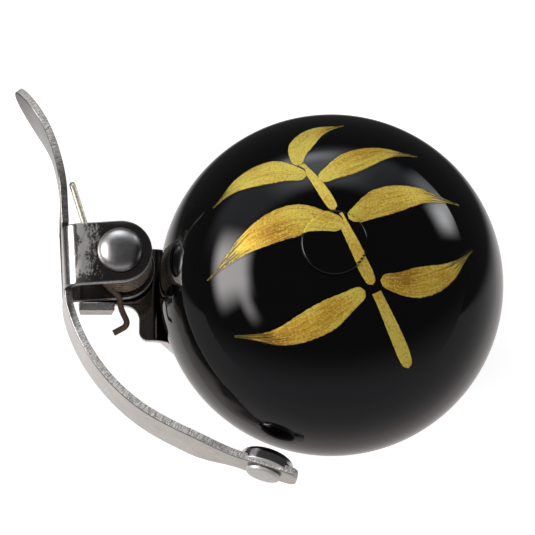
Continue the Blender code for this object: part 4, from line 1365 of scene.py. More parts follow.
@dataclass
class Bell:
    """The dome, its crown cap, and the post and cushion under it."""

    base_top: float
    tail_top: float
    radius: float = 0.0275
    height: float = 0.0244
    wall: float = 0.0018
    rim_drop: float = 0.0145
    rim_gap: float = 0.0025
    hole: float = 0.0029
    cap_radius: float = 0.0051
    cap_edge: float = 0.0007
    cap_crown: float = 0.0005
    cap_round: float = 0.00032
    shank_radius: float = 0.0025
    shank_length: float = 0.0120
    post_radius: float = 0.0040
    flange_radius: float = 0.0060
    flange: float = 0.0015
    bore_depth: float = 0.0115
    tenon_radius: float = 0.0025
    tail_radius: float = 0.0038
    tail: float = 0.0009
    cushion_radius: float = 0.0060
    cushion: float = 0.0010
    shank_bevel: float = 0.0002
    turned_edge: Flat = (0.00025, 0.0002)
    steps: int = 208
    cap_steps: int = 128
    post_steps: int = 72

    @property
    def centre(self) -> float:
        """Gives the height of the dome's own centre."""
        return self.base_top + self.rim_gap + self.rim_drop

    @property
    def place(self) -> Matrix:
        """Gives the place of pieces drawn about the dome's centre."""
        return Matrix.Translation((0.0, 0.0, self.centre))

    def rise(self, radius: float, skin: float = 0.0) -> float:
        """Gives the dome's height over its centre at a radius, less a skin."""
        share = radius / (self.radius - skin)
        return (self.height - skin) * math.sqrt(max(0.0, 1.0 - share * share))

    def curve(self, skin: float, count: int) -> Loop:
        """Draws the dome's curve from its crown hole to its rim.

        Args:
            skin: How far under the dome's surface it runs.
            count: How many steps it has.

        Returns:
            The curve's points about the dome's centre.
        """
        top = math.acos(self.hole / (self.radius - skin))
        bottom = -math.asin((self.rim_drop - self.wall / 2.0) / (self.height - skin))
        angles = [top + (bottom - top) * i / count for i in range(count + 1)]
        return [((self.radius - skin) * math.cos(angle), (self.height - skin) * math.sin(angle))
                for angle in angles]

    def dome(self) -> None:
        """Builds the dome, open below, with a rounded rim."""
        outer, inner = self.curve(0.0, 72), self.curve(self.wall, 40)
        half = (outer[-1][0] - inner[-1][0]) / 2.0
        middle = (outer[-1][0] + inner[-1][0]) / 2.0
        lip = arc((middle, outer[-1][1]), half, 0.0, -math.pi, 10)[1:-1]
        mesh = turned_mesh(outer + lip + inner[::-1], self.steps, True, self.place)
        Shop.finish("bell_dome_lacquered", mesh, (Rack.LACQUER,),
                    Seat(Body.FRAME, ("bell_dome",), "black_lacquer"))

    def cap_height(self, radius: float) -> float:
        """Works out the height of the cap's top.

        Args:
            radius: The distance from its axis.

        Returns:
            The height over the dome's centre.
        """
        edge = self.rise(self.cap_radius) + SEAT + self.cap_edge
        share = radius / self.cap_radius
        top = edge + self.cap_crown * (1.0 - share * share)
        past = max(0.0, radius - (self.cap_radius - self.cap_round)) / self.cap_round
        return top - self.cap_round * (1.0 - math.sqrt(max(0.0, 1.0 - past * past)))

    def cap(self) -> None:
        """Builds the crown cap with its low domed head and rounded edge."""
        flat = self.cap_radius - self.cap_round
        radii = [flat * i / 16 for i in range(17)]
        radii += [flat + self.cap_round * math.sin(QUARTER * i / 6) for i in range(1, 7)]
        head = [(radius, self.cap_height(radius)) for radius in radii]
        radii = [self.cap_radius - (self.cap_radius - self.shank_radius) * i / 8 for i in range(9)]
        under = [(radius, self.rise(max(radius, self.hole)) + SEAT) for radius in radii]
        end = under[-1][1] - self.shank_length
        shank = [(self.shank_radius, end + self.shank_bevel), (self.shank_radius - self.shank_bevel, end),
                 (0.0, end)]
        mesh = turned_mesh(head + under + shank, self.cap_steps, place=self.place)
        Shop.finish("crown_cap_lacquered", mesh, (Rack.LACQUER,),
                    Seat(Body.FRAME, ("crown_cap",), "black_lacquer"))

    def core(self) -> None:
        """Builds the post and the nylon cushion that carry the dome."""
        bore = self.shank_radius + RUN
        ledge = self.rise(self.cushion_radius, self.wall) - SEAT
        radii = [bore + (self.cushion_radius - bore) * i / 8 for i in range(9)]
        top = [(radius, self.rise(radius, self.wall) - SEAT) for radius in radii]
        profile = top + [(self.cushion_radius, ledge - self.cushion), (bore, ledge - self.cushion)]
        mesh = turned_mesh(profile, self.post_steps, True, self.place)
        Shop.finish("dome_cushion_ring", mesh, (Rack.NYLON,), Seat(Body.FRAME, ("dome_cushion",), "nylon"))
        head = self.centre + ledge - self.cushion - SEAT
        foot, low = self.base_top + SEAT, self.tail_top
        floor = head - self.bore_depth
        profile = [(0.0, floor), (bore, floor), (bore, head)]
        profile += soften([(bore, head), (self.post_radius, head), (self.post_radius, foot + self.flange),
                           (self.flange_radius, foot + self.flange), (self.flange_radius, foot),
                           (self.tenon_radius, foot)], self.turned_edge[0])[1:]
        profile += [(self.tenon_radius, low), (self.tail_radius, low)]
        profile += soften([(self.tail_radius, low), (self.tail_radius - RUN, low - self.tail + SEAT / 2.0),
                           (self.tenon_radius, low - self.tail), (0.0, low - self.tail)],
                          self.turned_edge[1])[1:]
        seat = Seat(Body.FRAME, ("post",), "zinc")
        Shop.finish("post_turned", turned_mesh(profile, self.post_steps), (Rack.ZINC,), seat)

    def build(self) -> None:
        """Builds the bell."""
        self.dome()
        self.cap()
        self.core()


@dataclass(frozen=True)
class Stroke:
    """One brush stroke in plan: the points it goes through, its width and how it dries out."""

    name: str
    points: tuple[Flat, ...]
    width: float
    dry: float
    head: float
    tail: float
    swell: float
    layer: int
    over_cap: bool


STEM = (0.8, 0.75, 0.2)
HIGH_STEM = (0.8, 0.5, 0.2)
LEAF = (0.5, 0.08, 0.34)
WIDE_LEAF = (0.5, 0.08, 0.36)
TIP_LEAF = (0.5, 0.10, 0.34)


@dataclass
class BrushSpray:
    """A spray of bamboo leaves painted in gold over the dome, of the builder's own drawing."""

    bell: Bell
    strokes: tuple[Stroke, ...]
    step: float = 0.00032
    columns: int = 18
    lift: float = 0.000018
    layer_lift: float = 0.000012
    sink: float = 0.00003
    margin: float = 1.10
    cap_margin: float = 0.00003
    cap_reach: float = 0.00008
    dry_start: float = 0.34
    seed_step: float = 3.7
    curve_steps: int = 60
    taper_power: float = 1.25
    least_cap: float = 0.04

    def path(self, stroke: Stroke) -> list[Vector]:
        """Draws a smooth curve through a stroke's points.

        Args:
            stroke: The stroke.

        Returns:
            Evenly spaced points on the curve.
        """
        knots = [Vector(point) for point in stroke.points]
        knots = [knots[0] * 2.0 - knots[1], *knots, knots[-1] * 2.0 - knots[-2]]
        dense = []
        for a, b, c, d in zip(knots, knots[1:], knots[2:], knots[3:]):
            for i in range(self.curve_steps):
                t = i / self.curve_steps
                dense.append(0.5 * ((2.0 * b) + (c - a) * t + (2.0 * a - 5.0 * b + 4.0 * c - d) * t * t
                                    + (3.0 * b - a - 3.0 * c + d) * t ** 3))
        dense.append(knots[-2])
        travelled = [0.0]
        for first, second in zip(dense, dense[1:]):
            travelled.append(travelled[-1] + (second - first).length)
        count = max(8, round(travelled[-1] / self.step))
        places, index = [], 0
        for i in range(count + 1):
            goal = travelled[-1] * i / count
            while index < len(dense) - 2 and travelled[index + 1] < goal:
                index += 1
            share = (goal - travelled[index]) / max(1e-12, travelled[index + 1] - travelled[index])
            places.append(dense[index].lerp(dense[index + 1], min(1.0, share)))
        return places

    def half_width(self, stroke: Stroke, share: float, length: float) -> float:
        """Works out a stroke's half width.

        Args:
            stroke: The stroke.
            share: The share of its length.
            length: Its length.

        Returns:
            The half width there.
        """
        swell = ease(share / stroke.swell) if share < stroke.swell else 1.0
        fall = ease((share - stroke.swell) / (1.0 - stroke.swell)) ** self.taper_power
        taper = 1.0 - (1.0 - stroke.tail) * fall
        body = (stroke.head + (1.0 - stroke.head) * swell) * taper
        near = share * length / (stroke.width * 0.5 * stroke.head)
        cap = math.sqrt(max(0.0, 1.0 - (1.0 - near) ** 2)) if near < 1.0 else 1.0
        return 0.5 * stroke.width * body * max(self.least_cap, cap)

    def rest(self, x: float, y: float, lift: float, cap: bool) -> Vector:
        """Lays a plan point on the dome or the cap.

        Args:
            x: The point's X.
            y: Its Y.
            lift: How far it lies off the surface.
            cap: True where it lies on the cap.

        Returns:
            The point in the model's frame.
        """
        radius = math.hypot(x, y)
        if cap:
            limit = self.bell.cap_radius - self.cap_margin
            if radius > limit:
                x, y, radius = x * limit / radius, y * limit / radius, limit
            return Vector((x, y, self.bell.centre + self.bell.cap_height(radius) + lift))
        height = self.bell.rise(radius)
        spread, rise = self.bell.radius ** 2, self.bell.height ** 2
        normal = Vector((x / spread, y / spread, height / rise)).normalized()
        return Vector((x, y, self.bell.centre + height)) + normal * lift

    def sheet(self, stroke: Stroke, cap: bool, seed: float) -> Mesh:
        """Makes one stroke's thin film with its brush marks' coordinates.

        Args:
            stroke: The stroke.
            cap: True for the part that lies on the cap.
            seed: A number that sets its streaks apart.

        Returns:
            The film's mesh.
        """
        places = self.path(stroke)
        length = self.step * (len(places) - 1)
        shape = bmesh.new()
        names = ("along", "across", "dry", "seed")
        layers = [shape.verts.layers.float.new("brush_" + name) for name in names]
        top = self.lift + self.layer_lift * stroke.layer
        rows = []
        for i, here in enumerate(places):
            before, after = places[max(0, i - 1)], places[min(len(places) - 1, i + 1)]
            side = Vector((-(after - before).y, (after - before).x)).normalized()
            share = i / (len(places) - 1)
            half = self.half_width(stroke, share, length) * self.margin
            dry = stroke.dry * ease((share - self.dry_start) / (1.0 - self.dry_start))
            row = []
            for j in range(self.columns + 1):
                across = 2.0 * j / self.columns - 1.0
                point = here + side * half * across
                pair = []
                for lift in (top, -self.sink):
                    corner = shape.verts.new(self.rest(point.x, point.y, lift, cap))
                    marks = (share * length * MILLIMETRES, across * self.margin, dry, seed)
                    for layer, mark in zip(layers, marks):
                        corner[layer] = mark
                    pair.append(corner)
                row.append((pair, math.hypot(point.x, point.y)))
            rows.append(row)
        self.skin(shape, rows, cap)
        return settle(shape, "film")

    def skin(self, shape: bmesh.types.BMesh, rows: list, cap: bool) -> None:
        """Covers a film's grid of points above, below and round its border.

        Args:
            shape: The mesh under work.
            rows: For each row, its points' pairs and their distance from the dome's axis.
            cap: True for the part that lies on the cap.
        """
        used: dict[tuple[int, int], bool] = {}
        for i in range(len(rows) - 1):
            for j in range(len(rows[i]) - 1):
                cell = [rows[i][j], rows[i + 1][j], rows[i + 1][j + 1], rows[i][j + 1]]
                if cap and min(reach for pair, reach in cell) > self.bell.cap_radius - self.cap_reach:
                    continue
                shape.faces.new([pair[0] for pair, reach in cell])
                shape.faces.new([pair[1] for pair, reach in reversed(cell)])
                used[(i, j)] = True
        for (i, j) in used:
            sides = (((i, j - 1), (i, j), (i + 1, j)), ((i + 1, j), (i + 1, j), (i + 1, j + 1)),
                     ((i, j + 1), (i + 1, j + 1), (i, j + 1)), ((i - 1, j), (i, j + 1), (i, j)))
            for beside, first, second in sides:
                if beside in used:
                    continue
                a, b = rows[first[0]][first[1]][0], rows[second[0]][second[1]][0]
                shape.faces.new((b[0], a[0], a[1], b[1]))
        loose = [corner for corner in shape.verts if not corner.link_faces]
        bmesh.ops.delete(shape, geom=loose, context="VERTS")
        bmesh.ops.dissolve_degenerate(shape, edges=shape.edges, dist=1e-9)
        bmesh.ops.recalc_face_normals(shape, faces=shape.faces)

    def build(self) -> None:
        """Builds every stroke, with a second film where it runs over the cap."""
        for index, stroke in enumerate(self.strokes):
            seat = Seat(Body.FRAME, (), "black_lacquer")
            mesh = self.sheet(stroke, False, self.seed_step * index)
            Shop.finish("gold_" + stroke.name, mesh, (Rack.GOLD,), seat)
            if stroke.over_cap:
                mesh = self.sheet(stroke, True, self.seed_step * index)
                Shop.finish("gold_" + stroke.name + "_on_cap", mesh, (Rack.GOLD,), seat)


def spray_strokes() -> tuple[Stroke, ...]:
    """Gives the spray's strokes, one jointed stem and its leaves, drawn here in millimetres.

    Returns:
        The strokes in metres, the lowest layer first.
    """
    drawn = (
        ("stem_low", ((11.5, -17.5), (9.0, -12.5), (6.4, -7.4)), 2.3, 0.35, STEM, 0),
        ("stem_middle", ((5.8, -6.3), (3.2, -1.0), (0.6, 4.4)), 2.1, 0.30, STEM, 0),
        ("stem_high", ((0.1, 5.4), (-2.6, 10.2), (-5.6, 14.6)), 1.9, 0.45, HIGH_STEM, 0),
        ("leaf_low_left", ((4.6, -7.2), (-2.0, -11.4), (-8.6, -13.6), (-15.2, -12.8)), 4.9, 0.95, LEAF, 1),
        ("leaf_low_right", ((7.0, -5.6), (12.0, -5.6), (17.4, -3.2), (21.6, 1.4)), 4.9, 0.95, LEAF, 1),
        ("leaf_wide", ((1.4, 2.6), (-5.6, 3.8), (-12.6, 1.2), (-19.4, -4.0)), 5.9, 0.95, WIDE_LEAF, 1),
        ("leaf_middle_right", ((2.2, 3.6), (7.4, 7.0), (13.4, 8.8), (19.6, 8.6)), 5.2, 0.90, LEAF, 2),
        ("leaf_high_left", ((-4.2, 11.4), (-9.2, 12.6), (-14.4, 11.2), (-18.6, 7.8)), 4.6, 0.95, LEAF, 1),
        ("leaf_high_right", ((-2.2, 10.6), (2.6, 13.8), (7.8, 16.0), (13.2, 16.4)), 4.5, 0.90, LEAF, 2),
        ("leaf_tip", ((-5.6, 13.4), (-5.2, 17.0), (-2.4, 20.2), (1.8, 21.8)), 3.9, 0.85, TIP_LEAF, 2),
    )
    over_cap = ("stem_middle", "leaf_wide", "leaf_middle_right")
    strokes = []
    for name, points, width, dry, ends, layer in drawn:
        knots = tuple((x / MILLIMETRES, y / MILLIMETRES) for x, y in points)
        strokes.append(Stroke(name, knots, width / MILLIMETRES, dry, *ends, layer, name in over_cap))
    return tuple(strokes)


@dataclass
class Bracket:
    """The plated strap from under the dome to the lever's pivot, with its stop tab."""

    base_top: float
    centre: float
    pivot: Vector
    thickness: float = 0.0013
    near: float = -0.00745
    far: float = 0.0080
    bend_radius: float = 0.0015
    ear_depth: float = 0.0070
    riser_x: float = -0.02727
    lean: float = math.radians(14.0)
    ear_left: float = -0.0408
    ear_low: float = 0.0016
    strap_left: float = -0.03095
    fillet: float = 0.0025
    corner: float = 0.0015
    ear_corner: float = 0.0030
    end_round: float = 0.0039
    base_end: float = 0.0080
    tab_length: float = 0.0058
    tab_inset: float = 0.00025
    tab_face: float = 0.00325
    tab_bend: float = 0.0005
    tab_top: float = 0.0034
    tab_slant: float = 0.0005
    tab_relief: float = 0.0007
    tab_corner: float = 0.0007
    pin_radius: float = 0.0020
    tenon_radius: float = 0.0025
    edge: float = 0.00022
    painted_reflection_tab: Triple = (-0.0335, -0.0040, -0.6)

    def route(self) -> tuple[SheetRoute, float]:
        """Lays out the middle line from the ear to the base.

        Returns:
            The route and its length.
        """
        half = self.thickness / 2.0
        bend, turn = self.bend_radius + half, QUARTER - self.lean
        tangent = bend * math.tan(turn / 2.0)
        top = self.centre - self.ear_depth
        height = top - self.base_top
        fall = height / math.cos(self.lean) - 2.0 * tangent
        base = self.base_end - (self.riser_x + height * math.tan(self.lean) + tangent)
        runs = [(self.riser_x - tangent - self.ear_left, 0.0), (bend * turn, -turn), (fall, 0.0),
                (bend * turn, turn), (base, 0.0)]
        return SheetRoute((self.ear_left, top - half), 0.0, runs), sum(length for length, angle in runs)

    def tab(self) -> tuple[SideFold, float]:
        """Lays out the stop tab.

        Returns:
            Its fold, and where its tip is across the flat blank.
        """
        half = self.thickness / 2.0
        bend = self.tab_bend + half
        line = self.tab_face - half - bend
        fold = SideFold(self.tab_inset, self.tab_inset + self.tab_length, -1.0, line, bend)
        return fold, -(line + fold.bend + self.ear_depth + half - self.tab_top - bend)

    def outline(self, end: float, fold: SideFold, tip: float) -> Loop:
        """Gives the flat blank's outline.

        Args:
            end: The blank's length.
            fold: The stop tab's fold.
            tip: Where the tab's tip is across the blank.

        Returns:
            The outline's points.
        """
        strap = self.strap_left - self.ear_left
        line = -fold.line
        points = [(0.0, line), (fold.start, line)]
        curl = self.tab_corner
        points += arc((fold.start + curl, tip + curl), curl, math.pi, 1.5 * math.pi, 5)
        points += arc((fold.end - curl, tip + curl), curl, 1.5 * math.pi, 2.0 * math.pi, 5)
        points += [(fold.end - self.tab_slant, line - fold.bend), (fold.end - self.tab_slant, line),
                   (fold.end + self.tab_relief, line), (fold.end + self.tab_relief, -self.ear_low)]
        points += arc((strap - self.fillet, -self.ear_low - self.fillet), self.fillet, QUARTER, 0.0, 12)
        points += arc((strap + self.corner, self.near + self.corner), self.corner, math.pi, 1.5 * math.pi, 10)
        turn = self.end_round
        points += arc((end - turn, self.near + turn), turn, -QUARTER, 0.0, 14)
        points += arc((end - turn, self.far - turn), turn, 0.0, QUARTER, 14)
        points += arc((self.ear_corner, self.far - self.ear_corner), self.ear_corner, QUARTER, math.pi, 12)
        return points

    def build(self) -> None:
        """Builds the bracket."""
        route, end = self.route()
        fold, tip = self.tab()
        holes = [circle((self.pivot.x - self.ear_left, self.pivot.y), self.pin_radius + RUN),
                 circle((end - self.base_end, 0.0), self.tenon_radius + RUN)]
        sheet = Sheet(self.outline(end, fold, tip), holes, self.thickness, self.edge)
        mesh = sheet.bend(route, [fold], Lie.FLAT)
        # The stop tab's faces towards -Y take the paler copy of the plate: a painted reflection of the floor.
        x, y, turned = self.painted_reflection_tab
        for face in mesh.polygons:
            if face.center.x < x and face.center.y < y and face.normal.y < turned:
                face.material_index = 1
        Shop.finish("bracket_plated", mesh, (Rack.PLATE, Rack.PAINTED_REFLECTION),
                    Seat(Body.FRAME, ("bracket",), "dark_plate"), True)


@dataclass
class Lever:
    """The folded lever: thumb paddle, two ears round the pivot, curved arm and hammer."""

    pivot: Vector
    thickness: float = 0.0012
    tilt: float = math.radians(3.7)
    offset: float = 0.0086
    fold_half: float = 0.0030
    fold_radius: float = 0.0016
    ear_radius: float = 0.0050
    relief: float = 0.0006
    strip_half: float = 0.0044
    paddle_straight: float = 0.0106
    paddle_bend: Flat = (0.0139, math.radians(30.2))
    paddle_tip: Flat = (0.0063, math.radians(3.8))
    paddle_half: float = 0.0081
    paddle_round: float = 0.0080
    flare_start: float = 0.0115
    arm_straight: float = 0.0067
    arm_kink: Flat = (0.0012, math.radians(11.3))
    arm_bend: Flat = (0.0240, math.radians(45.8))
    arm_sweep: Flat = (0.0137, math.radians(11.5))
    arm_half: float = 0.0052
    pad_half: float = 0.0027
    pad_reach: float = 0.0053
    pad_corner: float = 0.0015
    hammer_run: float = 0.0042
    hammer_radius: float = 0.00425
    hammer_height: float = 0.0019
    hammer_edge: float = 0.0004
    hammer_skirt: float = 0.0010
    hammer_pin: float = 0.0017
    hammer_tail: float = 0.0029
    hammer_tail_height: float = 0.0006
    hammer_round: float = 0.0002
    hammer_steps: int = 96
    slot_reach: float = 1.2
    slot_depth: float = 1.5
    pin_radius: float = 0.0020
    edge: float = 0.00010
    roll: float = 0.00024
    lean: tuple[Flat, ...] = ((-0.0220, 0.0), (-0.0120, 3.5), (-0.0050, 6.5), (0.0060, 6.5), (0.0220, 4.0),
                              (0.0350, 4.0), (0.0498, 6.5))
    ear_lean_reach: float = 0.0050

    @property
    def fold(self) -> float:
        """Gives the fold's radius on the sheet's middle."""
        return self.fold_radius + self.thickness / 2.0

    @property
    def hammer_at(self) -> float:
        """Gives how far along the arm the hammer is."""
        return self.arm_straight + self.arm_kink[0] + self.arm_bend[0] + self.arm_sweep[0] + self.hammer_run

    @property
    def tip_at(self) -> float:
        """Gives where the paddle's tip is along the blank."""
        return -(self.paddle_straight + self.paddle_bend[0] + self.paddle_tip[0])

    def route(self) -> SheetRoute:
        """Gives the lever's middle line about the pivot."""
        anchor = -self.offset * Vector((math.cos(self.tilt), math.sin(self.tilt)))
        return SheetRoute((anchor.x, anchor.y), self.tilt - QUARTER, [
            (self.arm_straight, 0.0), self.arm_kink, self.arm_bend, self.arm_sweep,
            (self.hammer_run + self.pad_reach, 0.0),
        ], [(self.paddle_straight, 0.0), self.paddle_bend, self.paddle_tip])

    def half_width(self, distance: float) -> float:
        """Works out half the strip's width.

        Args:
            distance: The distance along the strip, negative towards the paddle.

        Returns:
            The half width there.
        """
        if distance < 0.0:
            tip = -self.tip_at - self.paddle_round
            share = ease((-distance - self.flare_start) / (tip - self.flare_start))
            return self.strip_half + (self.paddle_half - self.strip_half) * share
        swell = self.arm_straight + self.arm_bend[0] / 2.0
        taper = self.arm_straight + self.arm_bend[0] + self.arm_sweep[0] / 2.0
        if distance < taper:
            share = ease((distance - self.ear_radius) / (swell - self.ear_radius))
            return self.strip_half + (self.arm_half - self.strip_half) * share
        pad = self.hammer_at - self.hammer_radius
        return self.arm_half + (self.pad_half - self.arm_half) * ease((distance - taper) / (pad - taper))

    def run(self, start: float, end: float, count: int) -> Loop:
        """Gives points along one edge of the strip, the first left out."""
        stations = [start + (end - start) * i / count for i in range(1, count + 1)]
        return [(along, self.half_width(along)) for along in stations]

    def side(self) -> tuple[Loop, float]:
        """Draws one edge of the blank from the paddle's tip to the hammer's end.

        Returns:
            The edge's points, and where the pin is across the blank.
        """
        ear_out = self.fold_half + self.offset + self.fold * (QUARTER - 1.0)
        angles = [QUARTER * i / 24 for i in range(1, 25)]
        points = [(self.tip_at + self.paddle_round * (1.0 - math.cos(angle)),
                   self.paddle_half * math.sin(angle)) for angle in angles]
        notch, beside = self.fold_half - self.relief / 2.0, self.ear_radius + self.relief
        points += self.run(self.tip_at + self.paddle_round, -beside, 30)
        points += [(-beside, notch), (-self.ear_radius, notch)]
        points += arc((0.0, ear_out), self.ear_radius, math.pi, 0.0, 48)
        points += [(self.ear_radius, notch), (beside, notch), (beside, self.half_width(beside))]
        points += self.run(beside, self.hammer_at, 56)
        points += arc((self.hammer_at + self.pad_reach - self.pad_corner, self.pad_half - self.pad_corner),
                      self.pad_corner, QUARTER, 0.0, 10)
        return points, ear_out

    def lean_angle(self, distance: float) -> float:
        """Works out how far the strip leans.

        Args:
            distance: The distance along the strip.

        Returns:
            The angle there.
        """
        for (start, low), (end, high) in zip(self.lean, self.lean[1:]):
            if distance <= end:
                return math.radians(low + (high - low) * ease((distance - start) / (end - start)))
        return math.radians(self.lean[-1][1])

    def outward(self, along: float, across: float, height: float) -> float:
        """Gives the rise of a point of the lean strip, whose upper edge and whose ears' holes stay."""
        hold = 1.0 - ease((height - self.thickness / 2.0) / self.ear_lean_reach)
        return -math.tan(self.lean_angle(along)) * (self.half_width(along) - across) * hold

    def strip(self) -> None:
        """Builds the folded blank."""
        side, ear_out = self.side()
        outline = [(self.tip_at, 0.0), *side, *[(along, -across) for along, across in reversed(side)]]
        pin = self.pin_radius + RUN
        holes = [circle((0.0, ear_out), pin), circle((0.0, -ear_out), pin),
                 circle((self.hammer_at, 0.0), self.hammer_pin + SEAT)]
        folds = [SideFold(-self.ear_radius, self.ear_radius, sign, self.fold_half, self.fold)
                 for sign in (1.0, -1.0)]
        mesh = Sheet(outline, holes, self.thickness, self.edge, self.roll).bend(
            self.route(), folds, Lie.UPRIGHT, self.outward, self.pivot)
        Shop.finish("lever_folded", mesh, (Rack.NICKEL, Rack.EDGE),
                    Seat(Body.LEVER, ("lever",), "bright_nickel"), True)

    def hammer(self) -> None:
        """Builds the hammer, a rivet whose slotted head sits over the strip."""
        x, y, heading = self.route().place(self.hammer_at)
        half = self.thickness / 2.0
        base, tail = half + SEAT, -half - SEAT
        profile = crown(self.hammer_radius, base + self.hammer_edge, self.hammer_height - self.hammer_edge)
        profile += soften([profile.pop(), (self.hammer_radius, base - self.hammer_skirt),
                           (self.hammer_pin, base - self.hammer_skirt)], self.hammer_round)
        profile += [(self.hammer_pin, tail)]
        profile += soften([(self.hammer_pin, tail), (self.hammer_tail, tail),
                           (self.hammer_tail - self.hammer_tail_height / 2.0, tail - self.hammer_tail_height),
                           (0.0, tail - self.hammer_tail_height)], self.hammer_round)[1:]
        rise, lean = self.outward(self.hammer_at, 0.0, 0.0), self.lean_angle(self.hammer_at)
        spot = Vector((x - rise * math.sin(heading), y + rise * math.cos(heading), 0.0))
        place = Matrix.Translation(self.pivot + spot) @ Matrix.Rotation(heading + math.pi, 4, "Z")
        place @= Matrix.Rotation(QUARTER + lean, 4, "X")
        reach, slot = self.hammer_radius * self.slot_reach, self.pad_half + SEAT
        low, high = base - self.hammer_skirt * self.slot_depth, base
        slots = [block_mesh(Vector((-reach, -slot, low)), Vector((-self.hammer_pin, slot, high)), place),
                 block_mesh(Vector((self.hammer_pin, -slot, low)), Vector((reach, slot, high)), place)]
        mesh = cut_away(turned_mesh(profile, self.hammer_steps, place=place), slots)
        back = place.inverted()
        for face in mesh.polygons:
            face.material_index = 1 if (back @ face.center).z < 0.0 else 0
        Shop.finish("hammer_polished", mesh, (Rack.POLISHED, Rack.TAIL),
                    Seat(Body.LEVER, ("hammer",), "polished_steel"))

    def build(self) -> None:
        """Builds the lever and its hammer."""
        self.strip()
        self.hammer()


